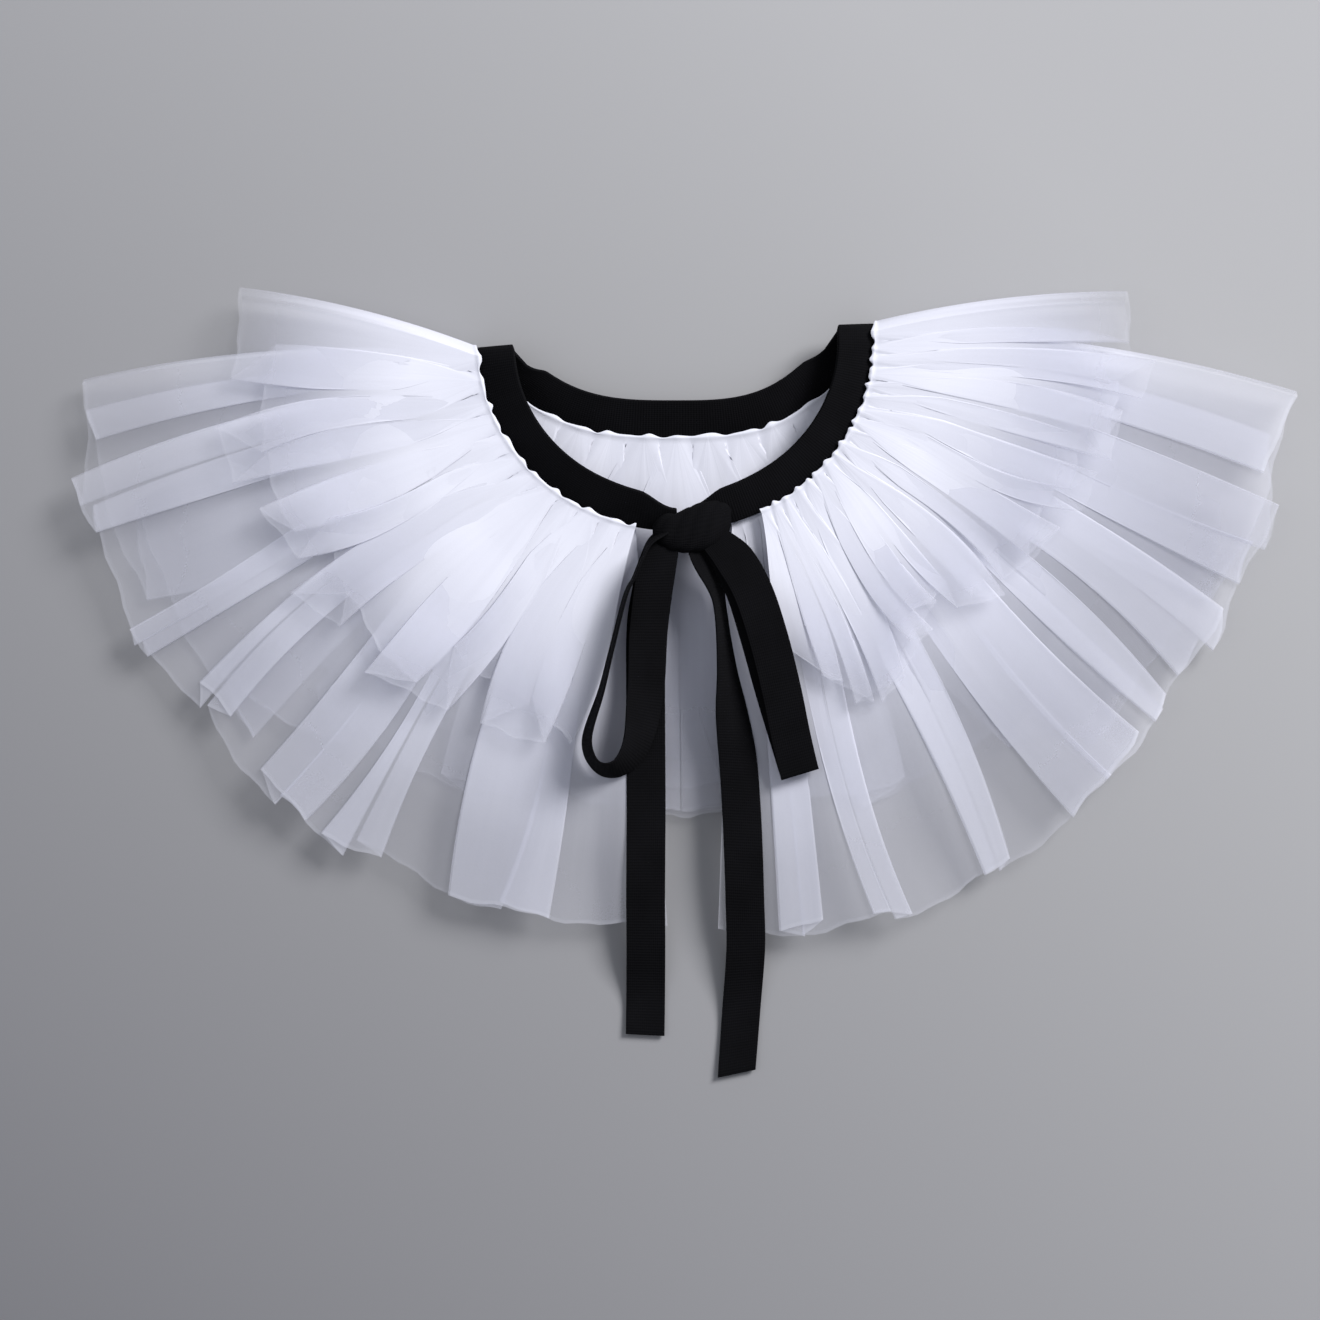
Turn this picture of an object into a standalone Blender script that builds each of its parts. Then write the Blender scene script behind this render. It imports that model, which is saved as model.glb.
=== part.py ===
"""A gathered tulle collar with a black tape neckband, laid flat and tied in a bow.

Two strips of tulle, a long and a short one, are gathered on to one tape. Each strip
runs from the left front edge, round the left shoulder, across the back, round the
right shoulder and on to the right front edge. The back lies on the surface and the
fronts lie on it. Every size below is in millimetres, +X to the right, +Y to the neck.
"""
import bpy
import math
from collections import namedtuple
from mathutils import Vector

MM = 0.001
ORIGIN = (0.0, 2.4)            # layout point that the middle of the whole part comes to

# Neckline, seen from above: the fronts follow half an ellipse and the back sags less
NECK_MIDDLE = (-2.5, 133.0)
NECK_HALF_WIDTH = 76.0
NECK_FRONT_DROP = 71.5
NECK_BACK_DROP = 35.6
NECK_TILT = math.radians(3.5)  # the right shoulder lies a little higher
BACK_SAG_POWER = 3.0

# Tape: a folded band along the neck and a single thickness in the bow
TAPE_WIDTH = 15.0
BAND_WALL = 2.2
TAPE_WALL = 1.0
BAND_LIFT = math.radians(20.0)  # the neck edge of the band stands up this much
FRONT_BAND_Z = 13.2
BACK_BAND_Z = 4.2
BAND_TURN_OUT = 2.6             # how far the fold at a shoulder bulges
BAND_TURN_STOPS = (0.2, 0.5, 0.8)
BAND_FRONT_STEPS = 14
BAND_BACK_STEPS = 26
BAND_SHOULDER_SPACE = 3.0       # ellipse degrees left free for the fold at a shoulder
BAND_BACK_SPACE = 0.03          # and the share of the back's width left free there
BAND_BACK_TURNED = 0.72         # from here out the back's band turns toward the crease
SHOULDER_LEAN = 0.25            # outward part of the way a shoulder's fold bulges
BAND_END_LIFT = math.radians(42.0)  # and this much where it goes into the knot
FRONT_END_LEFT = 255.0          # where the band meets the knot, in ellipse degrees
FRONT_END_RIGHT = 283.0
SHORT_END_RIGHT = 292.0         # the short tier stops a little before the knot here

# Tulle
TULLE_WALL = 1.0
SEAM_GAP = 0.8                  # from the band's edge line to the gathered edge
FOLD_INSET = 0.9                # how far a fold's two layers start inside its edge
LAP = 11.0                      # most cloth hidden behind one edge of a pleat
LAP_SHARE = 0.38                # and never more than this share of the pleat's width
GATHER_HEIGHT = 1.0
LINES_PER_GATHER = 6
FAN_MIDDLE = (-1.0, 104.0)      # the hems are measured from here
SHOULDER_BOW_SPAN = 26.0        # degrees of hem over which a shoulder's bow fades out
FLAT_SHARE = 0.1                # a flat underside starts this far inside a panel
LAP_OPENING = 1.2               # how fast a lap's layers level out as it grows

# The hems stand up in soft waves, but not in front, where the ties lie on them
WAVE_HEIGHT = 4.5
WAVES_PER_TURN = 11.0
WAVE_MIDDLE = 271.0
WAVE_FREE = 8.0
WAVE_RISE = 14.0
WAVE_LEAST = 0.5                # the lowest wave's share of the highest one's height
WAVE_BEATS = 4.0                # how many times round the waves grow and sink

# One pleat: hem directions and hem distances of its two edges, and the hem distance
# of the lower layer that shows between it and the next pleat. Degrees run from
# 180 at the left, through 270 at the front, to 360 at the right.
Pleat = namedtuple("Pleat", "start end reach_start reach_end under")
FreeEdge = namedtuple("FreeEdge", "angle reach")

LONG_LEFT = [
    Pleat(176.5, 182.0, 230, 226, 229),
    Pleat(185.5, 191.0, 236, 228, 226),
    Pleat(200.8, 204.0, 227, 223, 223),
    Pleat(208.6, 213.5, 211, 207, 221),
    Pleat(219.8, 227.0, 210, 211, 212),
    Pleat(229.0, 235.7, 210, 205, 201),
    Pleat(244.0, 255.3, 203, 198, 197),
]
LONG_LEFT_EDGE = FreeEdge(268.6, 195)

LONG_RIGHT = [
    Pleat(281.0, 286.0, 200, 199, 208),
    Pleat(291.4, 295.2, 205, 209, 211),
    Pleat(303.8, 307.0, 212, 212, 215),
    Pleat(314.7, 325.8, 215, 213, 217),
    Pleat(327.6, 330.6, 217, 216, 217),
    Pleat(332.8, 340.9, 216, 222, 225),
    Pleat(343.6, 351.9, 225, 232, 229),
    Pleat(354.7, 362.3, 226, 237, 229),
]
LONG_RIGHT_EDGE = FreeEdge(274.3, 197)

SHORT_LEFT = [
    Pleat(164.7, 175.0, 174, 176, 170),
    Pleat(181.6, 188.3, 184, 177, 163),
    Pleat(192.0, 200.2, 162, 162, 160),
    Pleat(204.0, 211.5, 166, 158, 146),
    Pleat(218.8, 233.1, 150, 140, 122),
    Pleat(236.7, 247.5, 140, 134, 132),
]
SHORT_LEFT_EDGE = FreeEdge(251.4, 132)

SHORT_RIGHT = [
    Pleat(299.0, 304.5, 106, 124, 140),
    Pleat(307.0, 312.0, 136, 141, 132),
    Pleat(316.0, 321.0, 128, 124, 120),
    Pleat(324.0, 333.0, 123, 140, 148),
    Pleat(338.7, 348.6, 155, 155, 158),
    Pleat(353.0, 360.5, 160, 172, 174),
    Pleat(364.0, 374.6, 180, 182, 174),
]
SHORT_RIGHT_EDGE = FreeEdge(295.8, 98)

# One row of a tier, from the neck (0) to the hem (1): how evenly its fold lines are
# spaced (1 at the gathers), how far gathers have opened into pleats, how much of each
# lap and of the hem's wave has grown, then the height of the lowest layer of cloth and
# the step up to the next one, in the fronts and in the back
Row = namedtuple("Row", "at even opened lap wave front_z front_step back_z back_step")
LONG_ROWS = [
    Row(0.00, 1.00, 0.00, 0.00, 0.0, 10.2, 1.7, 5.3, 1.7),
    Row(0.07, 0.75, 0.35, 0.00, 0.0, 10.2, 1.7, 5.3, 1.7),
    Row(0.14, 0.40, 0.80, 0.00, 0.0, 10.2, 1.7, 5.3, 1.7),
    Row(0.22, 0.08, 1.00, 0.05, 0.0, 10.2, 1.7, 5.3, 1.7),
    Row(0.50, 0.00, 1.00, 0.45, 0.0, 10.2, 1.7, 5.3, 1.7),
    Row(0.80, 0.00, 1.00, 0.80, 0.2, 10.2, 1.7, 5.3, 1.7),
    Row(1.00, 0.00, 1.00, 1.00, 1.0, 6.2, 2.3, 0.6, 1.7),
]
SHORT_ROWS = [
    Row(0.00, 1.00, 0.00, 0.00, 0.0, 15.1, 1.7, 0.5, 1.7),
    Row(0.11, 0.75, 0.35, 0.00, 0.0, 15.1, 1.7, 0.5, 1.7),
    Row(0.22, 0.40, 0.80, 0.00, 0.0, 15.1, 1.7, 0.5, 1.7),
    Row(0.34, 0.08, 1.00, 0.05, 0.0, 15.1, 1.7, 0.5, 1.7),
    Row(0.66, 0.00, 1.00, 0.40, 0.3, 15.1, 1.9, 0.5, 1.7),
    Row(1.00, 0.00, 1.00, 1.00, 1.0, 15.1, 2.3, 0.5, 1.7),
]
Tier = namedtuple("Tier", "name rows front_neck_z back_neck_z turn_out turn_steps bow back_wave"
                          " flat right_end")
Back = namedtuple("Back", "pleats share reach_middle reach_side power")
LONG_TIER = Tier("long_tier", LONG_ROWS, 11.5, 5.3, 1.6, 2, 6.0, 0.6, False, FRONT_END_RIGHT)
LONG_BACK = Back(7, 0.56, 152.0, 231.0, 1.6)
SHORT_TIER = Tier("short_tier", SHORT_ROWS, 14.9, 2.0, 4.6, 4, 3.0, 0.0, True, SHORT_END_RIGHT)
SHORT_BACK = Back(6, 0.56, 112.0, 177.0, 1.6)
BACK_WANDER = 0.10              # how much the back's pleats differ in width and place
BACK_WANDER_TURN = 2.3
BACK_WANDER_START = 0.7
BACK_UNDER_SHORT = 6.0          # the back's lower layers end this far inside the hem

# Bow. One row for each section of tape: its middle, the direction of its width seen
# from above, and how far that width is tipped up from lying flat (degrees).
Section = namedtuple("Section", "x y z across tip")

TAIL_LEFT = [
    Section(-9.4, 49.7, 18.6, 8, 0),
    Section(-12.1, 38.5, 17.8, 6, 0),
    Section(-14.0, 24.0, 15.6, 3, 0),
    Section(-14.2, 0.0, 12.2, 0, 0),
    Section(-14.0, -42.4, 11.8, 0, 0),
    Section(-14.1, -62.0, 11.8, 0, 0),
    Section(-14.2, -80.9, 10.2, 0, 0),
    Section(-14.1, -98.0, 7.2, -1, 0),
    Section(-14.2, -118.0, 1.6, -1, 0),
    Section(-14.4, -133.6, 1.4, -3, 0),
]
TAIL_RIGHT = [
    Section(9.4, 50.4, 18.4, 12, -25),
    Section(12.6, 40.0, 18.2, 12, -62),
    Section(14.6, 30.0, 18.2, 10, -72),
    Section(17.0, 8.0, 18.0, 4, -60),
    Section(18.8, -8.0, 16.6, 0, -36),
    Section(21.2, -26.0, 13.4, -4, -10),
    Section(22.6, -45.0, 12.0, -3, 0),
    Section(23.4, -62.0, 11.8, -3, 0),
    Section(24.0, -80.9, 10.2, -3, 0),
    Section(24.4, -100.0, 6.8, 2, 0),
    Section(22.8, -124.0, 1.4, 6, 0),
    Section(21.0, -148.6, 1.6, 12, 0),
]
LOOP_RIGHT = [
    Section(19.4, 51.4, 21.4, 26, 0),
    Section(26.6, 38.0, 22.8, 20, 0),
    Section(32.4, 20.0, 23.6, 15, 0),
    Section(37.4, 0.0, 22.6, 12, 0),
    Section(41.2, -17.3, 19.8, 15, 0),
    Section(44.4, -30.0, 17.8, 17, 0),
    Section(45.0, -32.0, 16.6, 17, 0),
    Section(44.4, -30.0, 15.4, 17, 0),
    Section(40.4, -17.0, 16.4, 16, 0),
    Section(35.6, 0.0, 19.6, 14, 0),
    Section(30.4, 20.0, 20.6, 16, 0),
    Section(25.4, 38.0, 20.2, 20, 0),
    Section(19.2, 51.4, 18.9, 24, 0),
]
LOOP_LEFT = [
    Section(-16.4, 57.0, 22.4, -20, 88),
    Section(-18.2, 50.0, 22.6, -20, 86),
    Section(-21.6, 38.0, 22.6, -20, 85),
    Section(-27.4, 15.0, 22.2, -20, 84),
    Section(-31.6, 0.0, 22.0, -16, 82),
    Section(-36.8, -19.0, 21.8, 8, 76),
    Section(-32.6, -29.2, 21.6, 76, 72),
    Section(-24.6, -29.6, 20.6, 110, 62),
    Section(-17.6, -20.0, 18.8, 150, 44),
    Section(-14.2, 0.0, 17.4, 176, 20),
    Section(-13.0, 24.0, 19.2, 180, 8),
    Section(-9.4, 49.8, 21.4, 184, 4),
]
KNOT_MIDDLE = (1.0, 60.6, 19.4)
KNOT_SIZE = (33.0, 19.0, 9.6)
KNOT_ROUNDING = 3.4

COLOURS = {"tulle": (0.86, 0.87, 0.90, 1.0), "tape": (0.008, 0.008, 0.010, 1.0)}


def empty_scene():
    for thing in list(bpy.data.objects):
        bpy.data.objects.remove(thing)


def new_collection(name):
    made = bpy.data.collections.new(name)
    bpy.context.scene.collection.children.link(made)
    return made


def finish(name, colour, roughness):
    made = bpy.data.materials.new(name + "_finish")
    made.use_nodes = True
    shader = made.node_tree.nodes["Principled BSDF"]
    shader.inputs["Base Color"].default_value = COLOURS[colour]
    shader.inputs["Roughness"].default_value = roughness
    shader.inputs["Metallic"].default_value = 0.0
    return made


def mix(a, b, share):
    return a + (b - a) * share


def soft_step(value):
    value = min(max(value, 0.0), 1.0)
    return value * value * (3.0 - 2.0 * value)


def to_metres(point):
    return ((point[0] - ORIGIN[0]) * MM, (point[1] - ORIGIN[1]) * MM, point[2] * MM)


def wall(name, grid, thickness, colour, roughness, collection):
    """A sheet of cloth: a grid of points, given a wall that is centred on them."""
    rows, columns = len(grid), len(grid[0])
    points = [to_metres(point) for row in grid for point in row]
    faces = []
    for r in range(rows - 1):
        for c in range(columns - 1):
            first = r * columns + c
            faces.append((first, first + 1, first + columns + 1, first + columns))
    mesh = bpy.data.meshes.new(name)
    mesh.from_pydata(points, [], faces)
    made = bpy.data.objects.new(name, mesh)
    collection.objects.link(made)
    mesh.materials.append(finish(name, colour, roughness))
    mesh.shade_smooth()
    solid = made.modifiers.new("cloth", "SOLIDIFY")
    solid.thickness = thickness * MM
    solid.offset = 0.0
    return made


def front_neck_point(degrees, grow=0.0):
    """A point of the fronts' neckline; grow moves it out, away from the neck."""
    angle = math.radians(degrees)
    x = (NECK_HALF_WIDTH + grow) * math.cos(angle)
    y = (NECK_FRONT_DROP + grow) * math.sin(angle)
    return Vector((NECK_MIDDLE[0] + x * math.cos(NECK_TILT) - y * math.sin(NECK_TILT),
                   NECK_MIDDLE[1] + x * math.sin(NECK_TILT) + y * math.cos(NECK_TILT)))


def back_neck_point(share, grow=0.0):
    """A point of the back's neckline, from the left shoulder (0) to the right (1)."""
    left = front_neck_point(180.0)
    right = front_neck_point(360.0)
    lowest = NECK_MIDDLE[1] - NECK_BACK_DROP
    across = 2.0 * share - 1.0
    height = (left if across < 0 else right).y - lowest
    slope = 3.0 * height * across * abs(across) / NECK_HALF_WIDTH
    point = Vector((mix(left.x, right.x, share),
                    lowest + height * abs(across) ** BACK_SAG_POWER))
    out = Vector((slope, -1.0)).normalized()
    return point + out * grow, -out


def shoulder_out(side):
    """The way a fold at a shoulder bulges: up and a little out."""
    return Vector((-math.sin(NECK_TILT), math.cos(NECK_TILT))) + Vector((SHOULDER_LEAN * side, 0.0))


def band_stations():
    """Edge points of the neckband and the direction of its width, end to end."""
    stations = []
    crease = Vector((math.cos(NECK_TILT), math.sin(NECK_TILT)))

    def add(point, inward, z, lift=BAND_LIFT):
        width = Vector((inward.x * math.cos(lift), inward.y * math.cos(lift), math.sin(lift)))
        stations.append((Vector((point.x, point.y, z)), width))

    def inward_at(degrees):
        return (front_neck_point(degrees, -1.0) - front_neck_point(degrees)).normalized()

    for step in range(BAND_FRONT_STEPS + 1):
        share = step / BAND_FRONT_STEPS
        degrees = mix(FRONT_END_LEFT, 180.0 + BAND_SHOULDER_SPACE, share)
        lift = mix(BAND_END_LIFT, BAND_LIFT, soft_step(3.0 * share))
        add(front_neck_point(degrees), inward_at(degrees), FRONT_BAND_Z, lift)
    for share in BAND_TURN_STOPS:
        corner = front_neck_point(180.0) + shoulder_out(-1) * BAND_TURN_OUT * math.sin(math.pi * share)
        add(corner, crease, mix(FRONT_BAND_Z, BACK_BAND_Z, share))
    for step in range(BAND_BACK_STEPS + 1):
        share = mix(BAND_BACK_SPACE, 1.0 - BAND_BACK_SPACE, step / BAND_BACK_STEPS)
        point, inward = back_neck_point(share)
        side = crease if share < 0.5 else -crease
        turned = soft_step((abs(2.0 * share - 1.0) - BAND_BACK_TURNED) / (1.0 - BAND_BACK_TURNED))
        add(point, (inward * (1.0 - turned) + side * turned).normalized(), BACK_BAND_Z)
    for share in BAND_TURN_STOPS[::-1]:
        corner = front_neck_point(360.0) + shoulder_out(1) * BAND_TURN_OUT * math.sin(math.pi * share)
        add(corner, -crease, mix(FRONT_BAND_Z, BACK_BAND_Z, share))
    for step in range(BAND_FRONT_STEPS + 1):
        share = step / BAND_FRONT_STEPS
        degrees = mix(360.0 - BAND_SHOULDER_SPACE, FRONT_END_RIGHT, share)
        lift = mix(BAND_LIFT, BAND_END_LIFT, soft_step(3.0 * share - 2.0))
        add(front_neck_point(degrees), inward_at(degrees), FRONT_BAND_Z, lift)
    return stations


def neckband(collection):
    shares = (0.0, 0.5, 1.0)
    grid = [[edge + width * TAPE_WIDTH * share for edge, width in band_stations()]
            for share in shares]
    return wall("neckband", grid, BAND_WALL, "tape", 0.8, collection)


# One fold line of a strip: the hem direction it opens to, the hem direction that its
# root on the neckline answers to, its hem distance, its layer where the laps are open
# and where they are closed, and its side (0 front, 1 back, between at a shoulder)
Line = namedtuple("Line", "angle root reach layer closed side out")
CLOSED_STEP = 0.28              # closed laps share their height out evenly by this much


def plain_line(angle, reach, layer, side):
    return Line(angle, angle, reach, layer, layer, side, 0.0)


def fold(lines, angle, root, reach, layer_in, layer_out, toward, side):
    """A rounded fold: the cloth arrives travelling toward (+1 or -1) and turns back."""
    inset = math.degrees(FOLD_INSET / reach) * toward
    raised = CLOSED_STEP if max(layer_in, layer_out) == 2 else -CLOSED_STEP
    between = (layer_in + layer_out) / 2.0
    for spot, layer in ((angle - inset, layer_in), (angle, between), (angle - inset, layer_out)):
        closed = layer + raised * (1.0 - abs(layer - 1.0))
        lines.append(Line(spot, root, reach, layer, closed, side, 0.0))


def lap_degrees(pleat):
    reach = (pleat.reach_start + pleat.reach_end) / 2.0
    width = abs(pleat.end - pleat.start)
    return min(math.degrees(LAP / reach), width * LAP_SHARE)


def flat_panel(lines, start, end, root_start, root_end, reach, side):
    """Two more lines inside a lowest panel, so that its underside lies flat."""
    for share in (FLAT_SHARE, 1.0 - FLAT_SHARE):
        root = mix(root_start, root_end, share)
        lines.append(Line(mix(start, end, share), root, reach, 0, 0, side, 0.0))


def pleat_run(pleats, side, open_start, open_end, flat=False):
    """Fold lines of box pleats in the order the cloth runs. An open start or end has
    no hidden lap there, because the cloth goes on round a shoulder."""
    lines = []
    way = 1.0 if pleats[0].end > pleats[0].start else -1.0
    under_before = pleats[0].under
    lowest_from = lowest_root = None
    for number, pleat in enumerate(pleats):
        lap = lap_degrees(pleat) * way
        if not (open_start and number == 0):
            root = pleat.start + lap / 2.0
            reach = mix(under_before, pleat.reach_start, 0.5)
            if flat and lowest_from is not None:
                flat_panel(lines, lowest_from, pleat.start + lap, lowest_root, root, under_before, side)
            fold(lines, pleat.start + lap, root, reach, 0, 1, way, side)
            fold(lines, pleat.start, root, pleat.reach_start, 1, 2, -way, side)
        if not (open_end and number == len(pleats) - 1):
            root = pleat.end - lap / 2.0
            reach = mix(pleat.under, pleat.reach_end, 0.5)
            fold(lines, pleat.end, root, pleat.reach_end, 2, 1, way, side)
            fold(lines, pleat.end - lap, root, reach, 1, 0, -way, side)
            lowest_from, lowest_root = pleat.end - lap, root
        under_before = pleat.under
    return lines


def turned_round(pleats):
    """The same pleats met from the other end."""
    made = []
    for number in range(len(pleats) - 1, -1, -1):
        old = pleats[number]
        under = pleats[number - 1].under if number else old.under
        made.append(Pleat(old.end, old.start, old.reach_end, old.reach_start, under))
    return made


def back_pleats(back, left, right):
    """The back's pleats, worked out: evenly fanned, and a little uneven in width."""
    made = []
    pitch = (right - left) / back.pleats
    for number in range(back.pleats):
        wander = BACK_WANDER * math.sin(BACK_WANDER_TURN * number + BACK_WANDER_START)
        width = pitch * (back.share + wander)
        middle = left + pitch * (number + 0.5 + 0.3 * wander)
        start, end = middle - width / 2.0, middle + width / 2.0
        if number == 0:
            start = left
        if number == back.pleats - 1:
            end = right
        made.append(Pleat(start, end, back_reach(back, start), back_reach(back, end),
                          back_reach(back, middle + pitch / 2.0) - BACK_UNDER_SHORT))
    return made


def back_reach(back, degrees):
    return mix(back.reach_middle, back.reach_side, abs(math.cos(math.radians(degrees))) ** back.power)


def shoulder_turn(angle, reach, way, tier):
    """The cloth going over a shoulder, from the front's top layer to the back's."""
    lines = []
    for step in range(tier.turn_steps + 1):
        share = step / tier.turn_steps
        bulge = math.sin(math.pi * share)
        inset = math.degrees(FOLD_INSET / reach) * way * (1.0 - bulge)
        lines.append(Line(angle - inset, angle, reach, 2, 2, share, tier.turn_out * bulge))
    return lines


def strip_lines(tier, left, left_edge, right, right_edge, back):
    """Fold lines of one whole strip, each with its two places on the neckline: where
    its gathers are evenly spaced, and where its pleat springs from."""
    shoulder_left, shoulder_right = left[0], right[-1]
    from_angle, to_angle = shoulder_left.start, shoulder_right.end
    left_lines = [plain_line(left_edge.angle, left_edge.reach, 0, 0)]
    left_lines += pleat_run(turned_round(left), 0, False, True)
    over_left = shoulder_turn(from_angle, shoulder_left.reach_start, -1.0, tier)
    back_lines = pleat_run(back_pleats(back, from_angle, to_angle), 1, True, True, tier.flat)
    over_right = shoulder_turn(to_angle, shoulder_right.reach_end, 1.0, tier)[::-1]
    right_lines = pleat_run(turned_round(right), 0, True, False)
    right_lines.append(plain_line(right_edge.angle, right_edge.reach, 0, 0))

    placed = []

    def place_front(lines, begin, finish_at, angle_begin, angle_finish, first):
        for number, line in enumerate(lines):
            even = mix(begin, finish_at, (number + first) / len(lines))
            share = (line.root - angle_begin) / (angle_finish - angle_begin)
            placed.append((line, front_neck_point(even, SEAM_GAP),
                           front_neck_point(mix(begin, finish_at, share), SEAM_GAP)))

    def place_turn(lines, degrees, side):
        for line in lines:
            point = front_neck_point(degrees, SEAM_GAP) + shoulder_out(side) * line.out
            placed.append((line, point, point))

    place_front(left_lines, FRONT_END_LEFT, 181.0, left_edge.angle, from_angle, 0)
    place_turn(over_left, 180.0, -1)
    for number, line in enumerate(back_lines):
        even = (number + 1) / (len(back_lines) + 1)
        share = (line.root - from_angle) / (to_angle - from_angle)
        placed.append((line, back_neck_point(even, SEAM_GAP)[0], back_neck_point(share, SEAM_GAP)[0]))
    place_turn(over_right, 360.0, 1)
    place_front(right_lines, 359.0, tier.right_end, to_angle, right_edge.angle, 1)
    return placed


def bow_at(angle, left_limit, right_limit):
    """How much of the shoulder's bow a fold line takes: all there, none at the front."""
    left = 1.0 - (angle - left_limit) / SHOULDER_BOW_SPAN
    right = 1.0 - (right_limit - angle) / SHOULDER_BOW_SPAN
    return soft_step(max(left, right))


def hem_wave(angle):
    """How far a hem stands up here: 0 in front, up to the full height at the sides."""
    turn = math.radians(angle - WAVE_MIDDLE)
    clear = soft_step((abs(angle - WAVE_MIDDLE) - WAVE_FREE) / WAVE_RISE)
    uneven = mix(WAVE_LEAST, 1.0, 0.5 + 0.5 * math.sin(WAVE_BEATS * turn))
    return WAVE_HEIGHT * clear * uneven * math.sin(turn * WAVES_PER_TURN / 2.0) ** 2


def tier_wall(tier, left, left_edge, right, right_edge, back, collection):
    placed = strip_lines(tier, left, left_edge, right, right_edge, back)
    grid = []
    for row in tier.rows:
        points = []
        for number, (line, even, root) in enumerate(placed):
            angle = math.radians(mix(line.root, line.angle, row.lap))
            hem = Vector((FAN_MIDDLE[0] + line.reach * math.cos(angle),
                          FAN_MIDDLE[1] + line.reach * math.sin(angle) + line.out))
            spot = root.lerp(even, row.even).lerp(hem, row.at)
            bow = tier.bow * bow_at(line.angle, left[0].start, right[-1].end)
            spot.y += bow * 4.0 * row.at * (1.0 - row.at)
            wave = GATHER_HEIGHT * math.cos(2.0 * math.pi * number / LINES_PER_GATHER)
            neck_z = mix(tier.front_neck_z, tier.back_neck_z, line.side) + wave
            layer = mix(line.closed, line.layer, min(1.0, LAP_OPENING * row.lap))
            lift = hem_wave(line.angle) * row.wave
            front_z = row.front_z + row.front_step * layer + lift
            back_z = row.back_z + row.back_step * layer + lift * tier.back_wave
            points.append((spot.x, spot.y, mix(neck_z, mix(front_z, back_z, line.side), row.opened)))
        grid.append(points)
    return wall(tier.name, grid, TULLE_WALL, "tulle", 0.7, collection)


def smooth_sections(sections, steps):
    """Catmull-Rom sections through the given ones."""
    values = [Vector(section) for section in sections]
    padded = [values[0] * 2.0 - values[1]] + values + [values[-1] * 2.0 - values[-2]]
    made = []
    for number in range(len(values) - 1):
        a, b, c, d = padded[number:number + 4]
        for step in range(steps):
            t = step / steps
            made.append(0.5 * (2.0 * b + (c - a) * t + (2.0 * a - 5.0 * b + 4.0 * c - d) * t ** 2
                               + (3.0 * b - a - 3.0 * c + d) * t ** 3))
    made.append(values[-1])
    return made


def tape(name, sections, steps, collection):
    grid = [[], [], []]
    for x, y, z, across, tip in smooth_sections(sections, steps):
        turn, lean = math.radians(across), math.radians(tip)
        width = Vector((math.cos(turn) * math.cos(lean), math.sin(turn) * math.cos(lean), math.sin(lean)))
        for row, share in zip(grid, (-0.5, 0.0, 0.5)):
            row.append(Vector((x, y, z)) + width * TAPE_WIDTH * share)
    return wall(name, grid, TAPE_WALL, "tape", 0.8, collection)


def knot(collection):
    """The tape's knot: a flat block, rounded along all its edges."""
    bpy.ops.mesh.primitive_cube_add(size=1.0)
    made = bpy.context.object
    made.name = made.data.name = "knot"
    for vertex in made.data.vertices:
        point = [KNOT_MIDDLE[axis] + vertex.co[axis] * KNOT_SIZE[axis] for axis in range(3)]
        vertex.co = to_metres(point)
    rounded = made.modifiers.new("rounded", "BEVEL")
    rounded.width = KNOT_ROUNDING * MM
    rounded.segments = 3
    made.data.materials.append(finish("knot", "tape", 0.8))
    made.data.shade_smooth()
    for home in list(made.users_collection):
        home.objects.unlink(made)
    collection.objects.link(made)
    return made


def collar():
    empty_scene()
    parts = new_collection("tulle_collar")
    tier_wall(LONG_TIER, LONG_LEFT, LONG_LEFT_EDGE, LONG_RIGHT, LONG_RIGHT_EDGE, LONG_BACK, parts)
    tier_wall(SHORT_TIER, SHORT_LEFT, SHORT_LEFT_EDGE, SHORT_RIGHT, SHORT_RIGHT_EDGE, SHORT_BACK, parts)
    neckband(parts)
    knot(parts)
    tape("tail_left", TAIL_LEFT, 3, parts)
    tape("tail_right", TAIL_RIGHT, 3, parts)
    tape("loop_left", LOOP_LEFT, 3, parts)
    tape("loop_right", LOOP_RIGHT, 3, parts)


collar()
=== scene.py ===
import bpy
import math
from collections import namedtuple
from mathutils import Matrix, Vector


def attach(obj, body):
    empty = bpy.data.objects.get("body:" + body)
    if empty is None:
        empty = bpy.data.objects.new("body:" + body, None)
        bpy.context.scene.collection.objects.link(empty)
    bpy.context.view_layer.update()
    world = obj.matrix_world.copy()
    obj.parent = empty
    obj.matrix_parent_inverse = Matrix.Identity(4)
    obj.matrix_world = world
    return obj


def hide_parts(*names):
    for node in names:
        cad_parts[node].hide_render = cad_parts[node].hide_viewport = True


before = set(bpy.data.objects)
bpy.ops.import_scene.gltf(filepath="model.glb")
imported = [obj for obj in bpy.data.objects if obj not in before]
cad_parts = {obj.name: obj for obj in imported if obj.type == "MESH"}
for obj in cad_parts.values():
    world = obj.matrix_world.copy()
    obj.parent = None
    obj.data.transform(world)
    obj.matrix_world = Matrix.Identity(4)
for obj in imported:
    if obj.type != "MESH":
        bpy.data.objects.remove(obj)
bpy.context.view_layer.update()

# A gathered tulle collar with a black tape neckband, laid flat and tied in a bow.
# Sizes are in millimetres, +X to the right, +Y to the neck, +Z up off the surface.
MM = 0.001
ORIGIN = (0.0, 2.4)            # layout point that the middle of the whole collar comes to

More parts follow.
